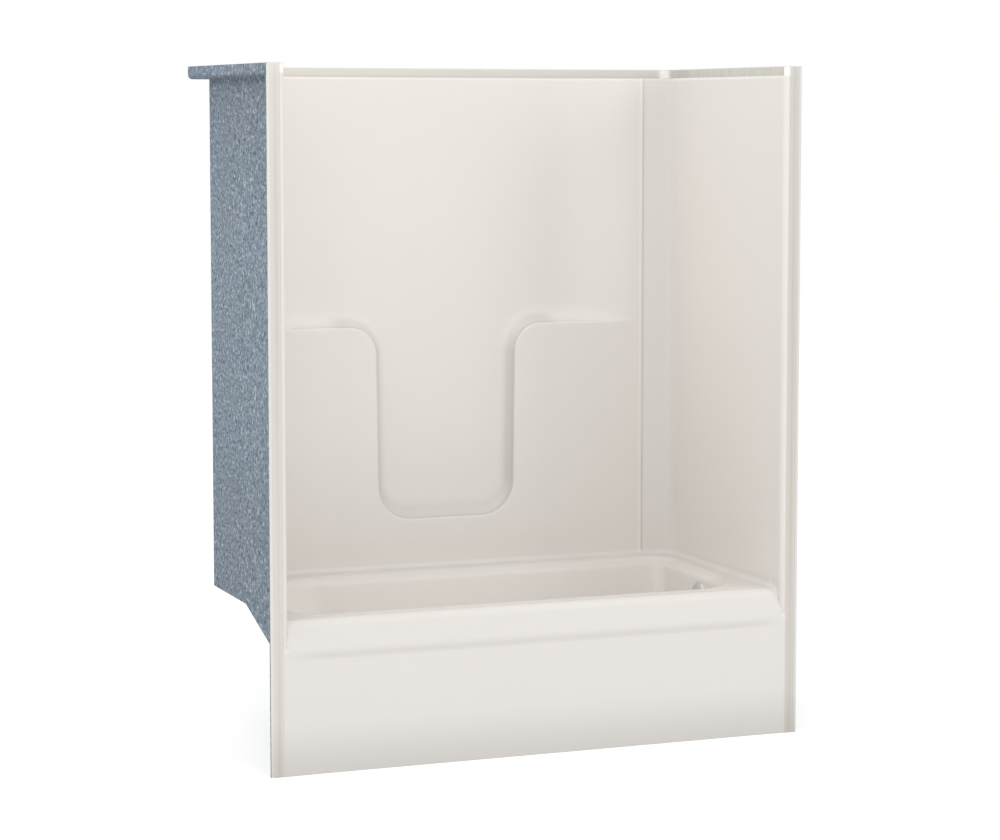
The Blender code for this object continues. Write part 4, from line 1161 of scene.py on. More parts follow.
@dataclass(frozen=True)
class RimSection:
    """The section of the front rim, its leaning band and the apron below."""

    plan: AlcovePlan
    roll_centre: float = 0.0465
    roll: float = 0.030
    roll_end: float = 162.2
    roll_steps: int = 12
    lean: float = 0.3218
    ease_depth: float = 0.0012
    band_foot: float = 0.321
    foot_shares: Spot = (0.5, 0.25, 0.06)
    apron_depth: float = 0.0046
    step_height: float = 0.024
    step_steps: int = 12
    toe_depth: float = 0.0025
    toe_height: float = 0.040
    toe_shares: Flat = (0.33, 0.66)
    floor_gap: float = 0.0003
    shares: tuple[float, ...] = (0.0, 0.35, 0.7, 0.84, 0.87, 0.9, 0.925, 0.95, 0.975, 1.0)
    ease_from: float = 0.84
    end_share: float = 0.12

    def roll_points(self) -> list[Flat]:
        """Depth and height of the rolled edge, from the deck down to the band."""
        centre = (self.roll_centre, self.plan.deck(self.roll_centre) - self.roll)
        return arc(centre, (self.roll, self.roll), 90, self.roll_end, self.roll_steps)

    def band_height(self, depth: float) -> float:
        """Find the height at which the leaning band has a depth. It turns upright at its foot.

        Args:
            depth: the depth.

        Returns:
            The height.
        """
        run = 2 * self.ease_depth / self.lean
        if depth < self.ease_depth:
            return self.band_foot + run * math.sqrt(max(depth, 0.0) / self.ease_depth)
        return self.band_foot + run + (depth - self.ease_depth) / self.lean

    def upper(self) -> list[Flat]:
        """Draw the section from the deck's front edge down to the band's foot.

        Returns:
            Depths and heights, with the nosing's own depths.
        """
        start = self.plan.nosing_depth
        depths = [depth for _, depth in self.plan.nosing_arc()][1:]
        depths += [self.plan.flange_step * share for share in self.foot_shares]
        points = [(start, self.plan.deck(start))] + self.roll_points()
        points += [(depth, self.band_height(depth)) for depth in depths]
        return points + [(0.0, self.band_foot)]

    def share_of_depth(self, share: float) -> float:
        """How much of its depth the apron keeps towards the flange, where it runs out flush."""
        run = max((share - self.ease_from) / (1 - self.ease_from), 0.0)
        return self.end_share + (1 - self.end_share) * (1 + math.cos(math.pi * run)) / 2

    def lower(self, layer: Layer) -> list[Flat]:
        """Draw the section from the band's foot to the floor.

        Args:
            layer: the layer that it is for.

        Returns:
            Depths and heights.
        """
        points = []
        for i in range(self.step_steps + 1):
            share = i / self.step_steps
            eased = (1 - math.cos(math.pi * share)) / 2 if layer is Layer.FACE else share
            points.append((self.apron_depth * eased, self.band_foot - self.step_height * share))
        head, toe = points[-1][1], self.toe_depth - self.apron_depth
        points += [(self.apron_depth + toe * share, head + (self.toe_height - head) * share)
                   for share in self.toe_shares]
        return points + [(self.toe_depth, self.toe_height), (self.toe_depth, self.floor_gap)]


# ---------------------------------------------------------------- zones of the moulding

@dataclass(frozen=True)
class BackWall:
    """The raised lower wall with its recess and ledge, and the bowed wall above it."""

    plan: AlcovePlan
    recess_width: float = 0.419
    recess_taper: float = 0.005
    lip_height: float = 0.5563
    lip_radius: float = 0.009
    lip_share: float = 0.35
    side_cove: float = 0.040
    floor_cove: float = 0.085
    top_radius: float = 0.0838
    floor_radius: float = 0.095
    back_radius: float = 0.055
    floor_steps: int = 4
    round_steps: int = 5
    cove_steps: int = 12
    corner_steps: int = 18

    @property
    def top_corner(self) -> Flat:
        """The centre of the rounded corner between the recess's side and the ledge."""
        return self.recess_width / 2 + self.top_radius, self.plan.ledge_height - self.top_radius

    def lip(self) -> list[tuple[Flat, Flat]]:
        """Draw the recess's edge and the ledge, from the middle of the recess's floor.

        Returns:
            Each point with its way out.
        """
        radius, top, out = self.floor_radius, self.top_corner, self.top_radius
        low = (self.recess_width / 2 - self.recess_taper - radius, self.lip_height + radius)
        points = [((low[0] * i / self.floor_steps, self.lip_height), (0.0, -1.0))
                  for i in range(self.floor_steps)]
        for x, z in arc(low, (radius, radius), -90, 0, self.corner_steps):
            points.append(((x, z), ((x - low[0]) / radius, (z - low[1]) / radius)))
        for x, z in arc(top, (out, out), 180, 90, self.corner_steps):
            points.append(((x, z), ((top[0] - x) / out, (top[1] - z) / out)))
        return points + [((x, self.plan.ledge_height), (0.0, -1.0)) for x in self.plan.bow()]

    def back(self) -> list[Flat]:
        """Draw the line where the cove meets the wall behind.

        Returns:
            The points, one for each of the lip's.
        """
        plan, radius, floor = self.plan, self.back_radius, self.lip_height + self.floor_cove
        side = self.recess_width / 2 - self.recess_taper - self.side_cove
        low = (side - radius, floor + radius)
        top_radii = (self.top_radius + self.side_cove, self.top_radius + plan.ledge_cove)
        points = [(low[0] * i / self.floor_steps, floor) for i in range(self.floor_steps)]
        points += arc(low, (radius, radius), -90, 0, self.corner_steps)
        points += arc(self.top_corner, top_radii, 180, 90, self.corner_steps)
        return points + [(x, plan.ledge_height + plan.ledge_cove) for x in plan.bow()]

    def roundness(self, x: float) -> Flat:
        """How deep the wall is behind the lower one, and how much of that the lip takes."""
        behind = self.plan.bow_depth(x) - self.plan.wainscot_depth
        return behind, min(self.lip_radius, self.lip_share * behind)

    def loft(self) -> Piece:
        """Model the rounded lip and the cove behind it.

        Returns:
            The grid.
        """
        start, rows = self.plan.wainscot_depth, []
        for ease, rise in quarter(self.round_steps)[:-1]:
            reach = self.lip_radius * (1 - rise)
            rows.append([(x + out_x * reach, start + self.roundness(x)[1] * ease, z + out_z * reach)
                         for (x, z), (out_x, out_z) in self.lip()])
        for ease, rise in quarter(self.cove_steps):
            row = []
            for ((x, z), _), (back_x, back_z) in zip(self.lip(), self.back()):
                place = x + (back_x - x) * ease
                behind, taken = self.roundness(place)
                depth = start + taken + (behind - taken) * rise
                row.append((place, depth, z + (back_z - z) * ease))
            rows.append(row)
        return self.plan.sheet("recess_and_ledge", rows)

    def bowed(self) -> Piece:
        """Model the part of the upper wall that bows forward to the corner post.

        Returns:
            The grid.
        """
        plan = self.plan
        line = [(x, plan.bow_depth(x)) for x in plan.bow()]
        heights = (plan.ledge_height + plan.ledge_cove, plan.wall_top)
        return plan.raised("bowed_wall", [(line, height) for height in heights])

    def levels(self) -> list[float]:
        """Find the heights of the rows at the wall's edge.

        Returns:
            The heights, from below the ledge to above its cove.
        """
        ledge, cove = self.plan.ledge_height, self.plan.ledge_cove
        heights = [ledge - self.lip_radius * (1 - rise) for _, rise in quarter(self.round_steps)]
        return heights[:-1] + [ledge + cove * ease for ease, _ in quarter(self.cove_steps)]


@dataclass(frozen=True)
class WallFoot:
    """One place along the walls: its foot, the cove at it, and where the ledge above starts."""

    spot: Flat
    floor: float
    cove: float
    inner: Flat
    rolled: Flat


@dataclass(frozen=True)
class SideWalls:
    """The corner post, end wall, nosing and front flange of one side, and the deck's cove."""

    plan: AlcovePlan
    rim: RimSection
    wall: BackWall
    layer: Layer
    cove_steps: int = 8
    end_cove: float = 0.42

    def feet(self) -> list[WallFoot]:
        """Find the places along the right half, from the middle of the back wall to the flange.

        Returns:
            The places.
        """
        plan = self.plan
        line, guide = plan.post_line(self.layer)
        upper = self.rim.upper()
        nosing = {round(depth, 7): x for x, depth in plan.nosing_arc()}
        front = []
        for depth, _ in upper[1:]:
            x = nosing.get(round(depth, 7), plan.wall_front_x)
            if depth < plan.flange_step - TOUCH:
                x = plan.flange_inner_x + plan.flange_step - depth
            front.append((x, depth))
        spots = [(0.0, plan.wainscot_depth)] + line + front
        guides = [(0.0, plan.wainscot_depth)] + guide + front
        floors = [plan.deck(depth) for _, depth in spots[:-len(upper)]] + [z for _, z in upper]
        taper_end = self.rim.roll_points()[-1][0]
        rolled = offset_line(guides, -plan.top_roll)
        feet = []
        for i, (spot, unit) in enumerate(zip(spots, offset_line(guides, 1.0))):
            share = min((spot[1] - taper_end) / (plan.nosing_depth - taper_end), 1.0)
            cove, inner = 0.0, spot
            if self.layer is Layer.FACE and share > -TOUCH:
                cove = plan.base_cove * (self.end_cove + (1 - self.end_cove) * max(share, 0.0))
                way = Vector(unit) - Vector(guides[i])
                inner = tuple(Vector(guides[i]) + way * cove)
            feet.append(WallFoot(spot, floors[i], cove, inner, rolled[i]))
        return feet

    def upright(self) -> Piece:
        """Model the post, end wall, nosing and flange above the deck and the front rim.

        Returns:
            The grid.
        """
        plan = self.plan
        columns = [(*foot.spot, foot.floor + foot.cove) for foot in self.feet()[1:]]
        columns += [(x, 0.0, self.rim.band_foot) for x in (plan.flange_middle_x, plan.half)]
        rows = [columns]
        for level in self.wall.levels() + [plan.wall_top]:
            rows.append([(x, depth, level) for x, depth, _ in columns])
        return plan.sheet("upright", rows)

    def flange_head(self) -> Piece:
        """Model the flange beside and above the top ledge.

        Returns:
            The grid.
        """
        plan = self.plan
        spots = [foot.spot for foot in self.feet() if foot.spot[1] <= plan.split_depth + TOUCH]
        spots += [(plan.flange_middle_x, 0.0), (plan.half, 0.0)]
        heights = (plan.wall_top, plan.top_ledge - plan.top_roll, plan.height)
        return plan.raised("flange_head", [(spots, height) for height in heights])

    def base_cove(self) -> Piece:
        """Model the cove between the walls and the deck. It runs out along the rim's roll.

        Returns:
            The grid.
        """
        plan, feet = self.plan, self.feet()
        feet = feet[:1 + next(i for i, foot in enumerate(feet) if foot.cove <= 0)]
        rows = [[(*between(foot.spot, foot.inner, ease), foot.floor + foot.cove * (1 - rise))
                 for foot in feet] for ease, rise in quarter(self.cove_steps)]
        for i, foot in enumerate(feet):
            if foot.spot[1] >= plan.nosing_depth:
                x, depth, _ = rows[-1][i]
                rows[-1][i] = (x, depth, plan.deck(depth))
        return plan.sheet("base_cove", rows)

    def front_rim(self) -> Piece:
        """Model the right half of the rolled front rim and its band.

        Returns:
            The grid.
        """
        upper = self.rim.upper()
        ends = self.feet()[-len(upper):]
        rows = [[(share * end.inner[0], depth, z) for share in self.rim.shares]
                for (depth, z), end in zip(upper, ends)]
        return self.plan.sheet("front_rim", rows)

    def apron(self) -> Piece:
        """Model the right half of the apron below the band, and the foot of the flange.

        Returns:
            The grid.
        """
        plan = self.plan
        edge = plan.flange_inner_x + plan.flange_step
        rows = []
        for depth, z in self.rim.lower(self.layer):
            row = []
            for share in self.rim.shares:
                eased = depth * self.rim.share_of_depth(share)
                x = share * edge if share < 1 else edge - min(eased, plan.flange_step)
                row.append((x, eased, z))
            rows.append(row + [(x, 0.0, z) for x in (edge, plan.flange_middle_x, plan.half)])
        return plan.sheet("apron", rows)


@dataclass(frozen=True)
class TopLedge:
    """The roll, ledge and upright flange along the top."""

    plan: AlcovePlan
    walls: SideWalls
    outer_x: float = 0.7342
    outer_depth: float = 0.7532
    corner_radius: float = 0.024
    corner_steps: int = 12
    bend_reach: float = 0.028
    fillet: float = 0.003
    fillet_steps: int = 3
    roll_steps: int = 5

    def run(self) -> Piece:
        """Model the right half of it.

        Returns:
            The grid.
        """
        plan = self.plan
        feet = self.walls.feet()
        depths = [foot.spot[1] for foot in feet]
        last = next(i for i, depth in enumerate(depths) if depth <= plan.split_depth + TOUCH)
        bend = next(i for i, depth in enumerate(depths)
                    if depth < plan.side_rear_depth - self.bend_reach)
        inner = [(0.0, plan.upper_depth)] + [(x, plan.bow_depth(x)) for x in plan.bow()[:-1]]
        rolled = [(x, depth + plan.top_roll) for x, depth in inner]
        outer = [(x, self.outer_depth) for x, _ in inner]
        radius = self.corner_radius
        corner = (self.outer_x - radius, self.outer_depth - radius)
        path = [(feet[1].spot[0], self.outer_depth)]
        path += arc(corner, (radius, radius), 90, 0, self.corner_steps)
        path.append((self.outer_x, depths[bend]))
        for i, foot in enumerate(feet[1:last + 1]):
            inner.append(foot.spot)
            rolled.append(foot.rolled)
            share = i / (bend - 1)
            outer.append(along_line(path, share) if share < 1 else (self.outer_x, foot.spot[1]))
        base = plan.top_ledge - plan.top_roll
        lines = [(inner, plan.wall_top), (inner, base)]
        for step, (ease, rise) in enumerate(quarter(self.roll_steps)[1:], 1):
            if self.walls.layer is Layer.BACKING:
                ease = rise = step / self.roll_steps
            line = [between(a, b, ease) for a, b in zip(inner, rolled)]
            lines.append((line, base + plan.top_roll * rise))
        for ease, rise in quarter(self.fillet_steps):
            back = self.fillet * (1 - rise)
            line = [tuple(Vector(b) + (Vector(a) - Vector(b)).normalized() * back)
                    for a, b in zip(rolled, outer)]
            lines.append((line, plan.top_ledge + self.fillet * ease))
        return plan.raised("top_ledge", lines + [(outer, plan.height)])


@dataclass(frozen=True)
class BathingWell:
    """The well: a sloping backrest at the left, an upright drain end at the right."""

    plan: AlcovePlan
    left_x: float = -0.668
    right_x: float = 0.6693
    front_depth: float = 0.083
    rear_depth: float = 0.6401
    margin: float = 0.0075
    rim_radius: float = 0.0305
    wall_foot: float = 0.127
    floor_radius: float = 0.0457
    backrest_run: float = 0.135
    backrest_draw: float = 0.061
    front_run: float = 0.033
    rear_run: float = 0.0203
    backrest_corner: Flat = (0.254, 0.437)
    rear_right: Flat = (0.114, 0.114)
    front_right: Flat = (0.152, 0.229)
    front_left: Flat = (0.122, 0.114)
    crease: Flat = (0.036, 0.036)
    drain_x: float = 0.508
    waste_y: float = -0.028
    drain_radius: float = 0.026
    overflow_height: float = 0.3366
    overflow_radius: float = 0.030
    corner_steps: int = 22
    roll_steps: int = 9
    wall_steps: int = 6

    @property
    def floor(self) -> float:
        """Height of the well's floor."""
        return self.wall_foot - self.floor_radius

    @property
    def end_face_x(self) -> float:
        """X of the upright drain end."""
        return self.right_x - self.rim_radius

    @staticmethod
    def blend(first: Outline, second: Outline, share: float) -> Outline:
        """Return an outline between two others."""
        return {key: tuple(a + (b - a) * share for a, b in zip(first[key], second[key]))
                for key in first}

    @staticmethod
    def inset(outline: Outline, distance: float) -> Outline:
        """Draw an outline in.

        Args:
            outline: the outline.
            distance: how far.

        Returns:
            The smaller outline.
        """
        left, right, front, rear = outline["box"]
        drawn = {key: tuple(value - distance for value in radii)
                 for key, radii in outline.items()}
        drawn["box"] = (left + distance, right - distance, front + distance, rear - distance)
        return drawn

    def points(self, outline: Outline) -> list[Flat]:
        """Draw an outline.

        Args:
            outline: its box and the two radii of each corner.

        Returns:
            Its points as X and depth, closed on itself.
        """
        left, right, front, rear = outline["box"]
        line = []
        for key, x, depth, x_way, depth_way, start in (
            ("rear_left", left, rear, 1, -1, 180),
            ("rear_right", right, rear, -1, -1, 90),
            ("front_right", right, front, -1, 1, 0),
            ("front_left", left, front, 1, 1, -90),
        ):
            radii = outline[key]
            centre = (x + x_way * radii[0], depth + depth_way * radii[1])
            line += arc(centre, radii, start, start - 90, self.corner_steps)
        return line + line[:1]

    def rim(self) -> Outline:
        """Draw the edge of the flat deck round the well.

        Returns:
            The outline.
        """
        return {
            "box": (self.left_x, self.right_x, self.front_depth, self.rear_depth),
            "rear_left": self.backrest_corner,
            "rear_right": self.rear_right,
            "front_right": self.front_right,
            "front_left": self.front_left,
        }

    def head(self) -> Outline:
        """The head of the walls, below the rolled edge."""
        return {**self.inset(self.rim(), self.rim_radius), "rear_right": self.crease}

    def foot(self) -> Outline:
        """Draw the foot of the walls.

        Returns:
            The outline.
        """
        outline = self.head()
        left, right, front, rear = outline["box"]
        outline["box"] = (left + self.backrest_run, right,
                          front + self.front_run, rear - self.rear_run)
        for key, draw in (("rear_left", self.backrest_draw), ("front_right", self.rim_radius)):
            outline[key] = tuple(radius - draw for radius in outline[key])
        return outline

    def sheet(self) -> Piece:
        """Model the well from the deck down to the edge of its flat floor.

        Returns:
            The grid.
        """
        plan, rim, head, foot = self.plan, self.rim(), self.head(), self.foot()
        rows = [[(x, d, plan.deck(d)) for x, d in self.points(self.inset(rim, -self.margin))]]
        for ease, rise in quarter(self.roll_steps):
            drop = self.rim_radius * ease
            rows.append([(x, d, plan.deck(d) - drop)
                         for x, d in self.points(self.blend(rim, head, rise))])
        high, low = rows[-1], [(*spot, self.wall_foot) for spot in self.points(foot)]
        rows += [[between(a, b, i / self.wall_steps) for a, b in zip(high, low)]
                 for i in range(1, self.wall_steps)]
        for ease, rise in quarter(self.roll_steps):
            outline = {**self.inset(foot, self.floor_radius * ease), "rear_right": self.crease}
            height = self.wall_foot - self.floor_radius * rise
            rows.append([(*spot, height) for spot in self.points(outline)])
        return plan.sheet("well", rows)


@dataclass(frozen=True)
class Moulding:
    """The whole moulding: every zone in one sheet, which gets a gloss layer and a laminate."""

    plan: AlcovePlan
    rim: RimSection
    wall: BackWall
    well: BathingWell
    skin: float = 0.0025
    gap: float = 0.0003
    laminate: float = 0.006
    skirt_foot: float = 0.2973
    skirt_kink: float = 0.343
    skirt_inner_x: float = 0.7
    edge_bevel: float = 0.0011
    drill_length: float = 0.04

    def sheet(self, layer: Layer) -> Piece:
        """Model the face of the moulding as one open sheet.

        Args:
            layer: the layer that it is for.

        Returns:
            The sheet, with its faces looking into the alcove.
        """
        plan = self.plan
        walls = SideWalls(plan, self.rim, self.wall, layer)
        zones = [
            self.wall.loft(), self.wall.bowed(), walls.upright(), walls.flange_head(),
            walls.front_rim(), walls.apron(), TopLedge(plan, walls).run(),
        ]
        if layer is Layer.FACE:
            zones.append(walls.base_cove())
        half = Bench.join(layer.name.lower() + "_half", zones)
        Bench.modify(half, "MIRROR", merge_threshold=0.0001)
        sheet = Bench.join(layer.name.lower() + "_sheet", [half, self.well.sheet()])
        lower_y, upper_y = plan.y(plan.wainscot_depth), plan.y(plan.upper_depth)
        if layer is Layer.BACKING:
            height = plan.deck(plan.wainscot_depth)
            ends = [Vector((x, lower_y, height)) for x in (plan.back_edge, -plan.back_edge)]
            Bench.tie(sheet, ends)
        counts = (
            Bench.cap(sheet, lambda co: co.y - lower_y),
            Bench.cap(sheet, lambda co: co.y - upper_y),
            Bench.cap(sheet, lambda co: co.z - self.well.floor),
            Bench.cap(sheet, lambda co: co.z - plan.deck(co.y + plan.depth / 2), island=True),
        )
        LOG.info("%s sheet: rims of %s edges closed", layer.name, counts)
        Bench.face_out(sheet, (0.0, -1.0, 0.3))
        return sheet

    @staticmethod
    def layer_of(sheet: Piece, start: float, thickness: float) -> None:
        """Turn a sheet into a layer.

        Args:
            sheet: the sheet.
            start: how far the layer starts behind it.
            thickness: the layer's thickness.
        """
        Bench.modify(
            sheet, "SOLIDIFY", thickness=thickness, offset=-1 - 2 * start / thickness,
            solidify_mode="NON_MANIFOLD",
            nonmanifold_thickness_mode="CONSTRAINTS" if start else "FIXED")

    def drill(self, piece: Piece) -> None:
        """Cut the drain and overflow holes.

        Args:
            piece: the layer.
        """
        well = self.well
        for x, z, turn, radius in (
            (well.drain_x, well.floor, 0, well.drain_radius),
            (well.end_face_x, well.overflow_height, math.radians(90), well.overflow_radius),
        ):
            Bench.rest()
            bpy.ops.mesh.primitive_cylinder_add(
                vertices=96, radius=radius, depth=self.drill_length,
                location=(x, well.waste_y, z), rotation=(0, turn, 0))
            Bench.combine(piece, Bench.settled("drill"))

    def skirt(self, side: int) -> Piece:
        """Model the laminate's skirt below the deck on one end wall.

        Args:
            side: 1 for the right, -1 for the left.

        Returns:
            The skirt as a closed slab.
        """
        plan = self.plan
        line = [foot.spot for foot in SideWalls(plan, self.rim, self.wall, Layer.BACKING).feet()
                if plan.nosing_depth <= foot.spot[1] < self.skirt_kink + 0.001
                and foot.spot[0] > self.skirt_inner_x]
        reach = max(depth for _, depth in line)
        kink = plan.deck(reach) - plan.stack
        rows = [[], []]
        for x, depth in line:
            share = (depth - plan.nosing_depth) / (reach - plan.nosing_depth)
            rows[0].append((side * x, depth, plan.deck(depth) - plan.stack))
            rows[1].append((side * x, depth, self.skirt_foot + (kink - self.skirt_foot) * share))
        slab = Bench.join("skirt", [plan.sheet("skirt_sheet", rows)])
        Bench.face_out(slab, (-side, 0.0, 0.0))
        self.layer_of(slab, self.skin + self.gap, self.laminate)
        return slab

    def trim_edge(self, piece: Piece) -> None:
        """Ease the cut front edges of the two flanges.

        Args:
            piece: the gloss layer.
        """
        def at_trim(co: Vector) -> bool:
            """Tell whether a point is on the cut edge."""
            return abs(abs(co.x) - self.plan.half) < 5 * TOUCH and co.y < self.plan.y(0.0002)

        with Bench.editing(piece, "DESELECT"):
            Bench.pick_edges(piece, at_trim, False)
            bpy.ops.mesh.bevel(offset=self.edge_bevel, segments=2, affect="EDGES")

    def build(self, finishes: dict[str, bpy.types.Material]) -> list[Piece]:
        """Model and dress both layers, in place of the nodes that stand for them.

        Args:
            finishes: the finishes by slot.

        Returns:
            The two pieces.
        """
        face = self.sheet(Layer.FACE)
        face.name = "gloss_shell"
        self.layer_of(face, 0.0, self.skin)
        self.trim_edge(face)
        self.drill(face)
        backing = self.sheet(Layer.BACKING)
        self.layer_of(backing, self.skin + self.gap, self.laminate)
        self.drill(backing)
        backing = Bench.join("laminate_shell", [backing, self.skirt(1), self.skirt(-1)])
        pieces = []
        for piece, suffix, slot in ((face, "_face", "biscuit_gloss"),
                                    (backing, "_laminate", "blue_grey_laminate")):
            nodes = sorted(node for node in frame["nodes"] if node.endswith(suffix))
            pieces.append(Bench.dress(piece, finishes[slot], slot, nodes))
        return pieces


# ---------------------------------------------------------------- waste set and framing

@dataclass(frozen=True)
class WasteSet:
    """The overflow plate, drain fitting, their screws and the slip nuts of the pipework."""

    well: BathingWell
    plate_front_x: float = 0.6295
    plate_rim_x: float = 0.6385
    plate_radius: float = 0.0397
    plate_flat: float = 0.030
    plate_thickness: float = 0.002
    dome: tuple[Flat, ...] = ((0.96, 0.80), (0.80, 0.55), (0.60, 0.34), (0.38, 0.17), (0.16, 0.06))
    dome_rim: tuple[Flat, ...] = ((0.001, 0.0001), (0.005, 0.0))
    slot_half: Flat = (0.0025, 0.0086)
    ear_gap: float = 0.0026
    ear_size: Spot = (0.0155, 0.0025, 0.010)
    pin_x: float = 0.6383
    pin_hole: float = 0.0018
    pin_reach: float = 0.02
    screw_spacing: float = 0.047
    hole_gap: float = 0.0003
    cutter_reach: float = 0.01
    screw_dome: tuple[Flat, ...] = ((0.0, 0.0), (0.45, 0.04), (0.8, 0.30), (1.0, 0.72), (1.0, 1.0))
    screw_rise: float = 0.5
    screw_tip: float = 0.25
    screw_recess: Spot = (0.62, 0.13, 0.30)
    screw_sides: int = 40
    plate_screw: Flat = (0.004, 0.002)
    strainer_screw: Flat = (0.005, 0.0025)
    flange_radius: float = 0.037
    flange_thickness: float = 0.003
    flange_curve: tuple[Flat, ...] = ((-0.001, 0.0), (0.0006, 0.0003), (0.0018, 0.0012))
    barrel: Flat = (0.0235, 0.0215)
    barrel_length: float = 0.028
    barrel_edge: float = 0.0004
    flange_edge: Flat = (0.0002, 0.0004)
    thread: Spot = (0.0035, 0.0010, 0.0007)
    thread_start: float = 0.004
    threads: int = 5
    cover_radius: float = 0.0335
    cover_curve: tuple[Flat, ...] = ((0.0, 0.0009), (0.0004, 0.0003), (0.0014, 0.0))
    cover_pitch: float = 0.01475
    cover_hole: float = 0.0045
    cover_holes: int = 6
    cover_screw_hole: float = 0.0028
    nut_outer: float = 0.0265
    nut_inner: float = 0.0193
    nut_edge: float = 0.0012
    nut_ring: float = 0.3
    nut_ribs: int = 12
    nut_dent: float = 0.0014
    nuts: tuple[str, ...] = ("shoe_slip_nut", "branch_slip_nut", "tee_slip_nut", "elbow_slip_nut")

    def plate(self) -> Piece:
        """Model the domed overflow plate with its slot, screw holes and the lever's ears.

        Returns:
            The plate.
        """
        front, rim, wall = self.plate_front_x, self.plate_rim_x, self.plate_thickness
        flat, radius, reach = self.plate_flat, self.plate_radius, self.cutter_reach
        y, z = self.well.waste_y, self.well.overflow_height
        profile = [(0.0, front + wall), (flat - wall / 2, front + wall), (radius - wall, rim),
                   (radius, rim)]
        profile += [(flat + (radius - flat) * share, front + (rim - front) * depth)
                    for share, depth in self.dome]
        profile += [(flat - back, front + drop) for back, drop in self.dome_rim]
        piece = Bench.turned(
            "domed_overflow_plate", profile + [(0.0, front)], (0.0, y, z), (1, 0, 0))
        length, width, height = self.ear_size
        for side in (-1, 1):
            near, far = sorted(y + side * gap for gap in (self.ear_gap, self.ear_gap + width))
            ear = Bench.block("lever_ear", (front + wall / 2, near, z - height / 2),
                              (front + length, far, z + height / 2))
            Bench.combine(piece, ear, "UNION")
            place = y + side * self.screw_spacing / 2
            Bench.combine(piece, Bench.rod("screw_hole", self.plate_screw[1] + self.hole_gap,
                                           (front - reach, place, z), (front + reach, place, z)))
        half_wide, half_high = self.slot_half
        Bench.combine(piece, Bench.block(
            "lever_slot", (front - reach, y - half_wide, z - half_high),
            (front + wall + self.hole_gap, y + half_wide, z + half_high)))
        pin_ends = ((self.pin_x, y - self.pin_reach, z), (self.pin_x, y + self.pin_reach, z))
        Bench.combine(piece, Bench.rod("pin_hole", self.pin_hole, *pin_ends, 24))
        return piece

    def screw(self, node: str, radii: Flat, along: Spot) -> Piece:
        """Model a screw with a domed head and a crossed recess, over the node of the screw.

        Args:
            node: the node that it replaces.
            radii: the radii of its head and shank.
            along: the way that its head looks.

        Returns:
            The screw.
        """
        low, high = (Vector(corner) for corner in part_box(node))
        (head, shank), way, middle = radii, Vector(along), (low + high) / 2
        top = max((corner - middle).dot(way) for corner in (low, high))
        rise = self.screw_rise * head
        profile = [(share * head, top - drop * rise) for share, drop in self.screw_dome]
        profile += [(shank, top - rise), (shank, shank - top), (self.screw_tip * shank, -top),
                    (0.0, -top)]
        piece = Bench.turned(f"{node}_head", profile, tuple(middle), along, self.screw_sides)
        reach, thin, deep = (share * head for share in self.screw_recess)
        across = way.orthogonal().normalized()
        over = way.cross(across)
        for arm, other in ((across, over), (over, across)):
            size = Vector([abs(value) for value in arm * reach + other * thin + way * deep])
            place = middle + way * top
            Bench.combine(piece, Bench.block("screw_recess", place - size, place + size))
        return piece

    def flange(self) -> Piece:
        """Model the drain flange with its rounded rim and its threaded barrel.

        Returns:
            The flange.
        """
        (outer, inner), edge = self.barrel, self.barrel_edge
        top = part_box("drain_flange")[1][2]
        seat, foot = top - self.flange_thickness, top - self.barrel_length
        lip = self.flange_radius - self.flange_thickness
        profile = [(inner + edge, top)]
        profile += [(lip + out, top - drop) for out, drop in self.flange_curve]
        back, up = self.flange_edge
        profile += [(self.flange_radius - back, seat + up), (self.flange_radius, seat),
                    (outer, seat)]
        pitch, half, depth = self.thread
        for i in range(1, self.threads + 1):
            level = seat - self.thread_start - pitch * i
            profile += [(outer, level + half), (outer - depth, level), (outer, level - half)]
        profile += [(outer, foot), (inner, foot), (inner, top - edge), (inner + edge, top)]
        place = (self.well.drain_x, self.well.waste_y, 0.0)
        return Bench.turned("drain_flange_ring", profile, place, (0, 0, 1))

    def strainer(self) -> Piece:
        """Model the pierced cover on the drain.

        Returns:
            The cover.
        """
        low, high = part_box("strainer_cover")
        foot, top = low[2], high[2]
        x, y = self.well.drain_x, self.well.waste_y
        profile = [(0.0, foot), (self.cover_radius, foot)]
        profile += [(self.cover_radius - back, top - drop) for back, drop in self.cover_curve]
        piece = Bench.turned("pierced_strainer", profile + [(0.0, top)], (x, y, 0.0), (0, 0, 1))
        pitch = (self.cover_pitch, self.cover_pitch)
        holes = [(spot, self.cover_hole)
                 for spot in arc((x, y), pitch, 0, 360, self.cover_holes)[:-1]]
        for spot, radius in holes + [((x, y), self.cover_screw_hole)]:
            ends = ((*spot, foot - self.cutter_reach), (*spot, top + self.cutter_reach))
            Bench.combine(piece, Bench.rod("strainer_hole", radius, *ends))
        return piece

    def nut(self, node: str) -> Piece:
        """Model a ribbed slip nut over the node that stands for it.

        Args:
            node: the node.

        Returns:
            The nut.
        """
        low, high = (Vector(corner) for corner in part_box(node))
        size = high - low
        along = (1, 0, 0) if size.x < size.z else (0, 0, 1)
        half = min(size.x, size.z) / 2
        outer, inner, edge = self.nut_outer, self.nut_inner, self.nut_edge
        neck = outer - edge - self.nut_dent
        profile = [(inner, -half), (neck, -half), (outer, edge - half),
                   (outer, self.nut_ring * half), (outer, half - edge), (neck, half),
                   (inner, half), (inner, -half)]
        return Bench.turned(f"ribbed_{node}", profile, tuple((low + high) / 2), along,
                            lobes=self.nut_ribs, dent=self.nut_dent, core=outer - 10 * TOUCH)

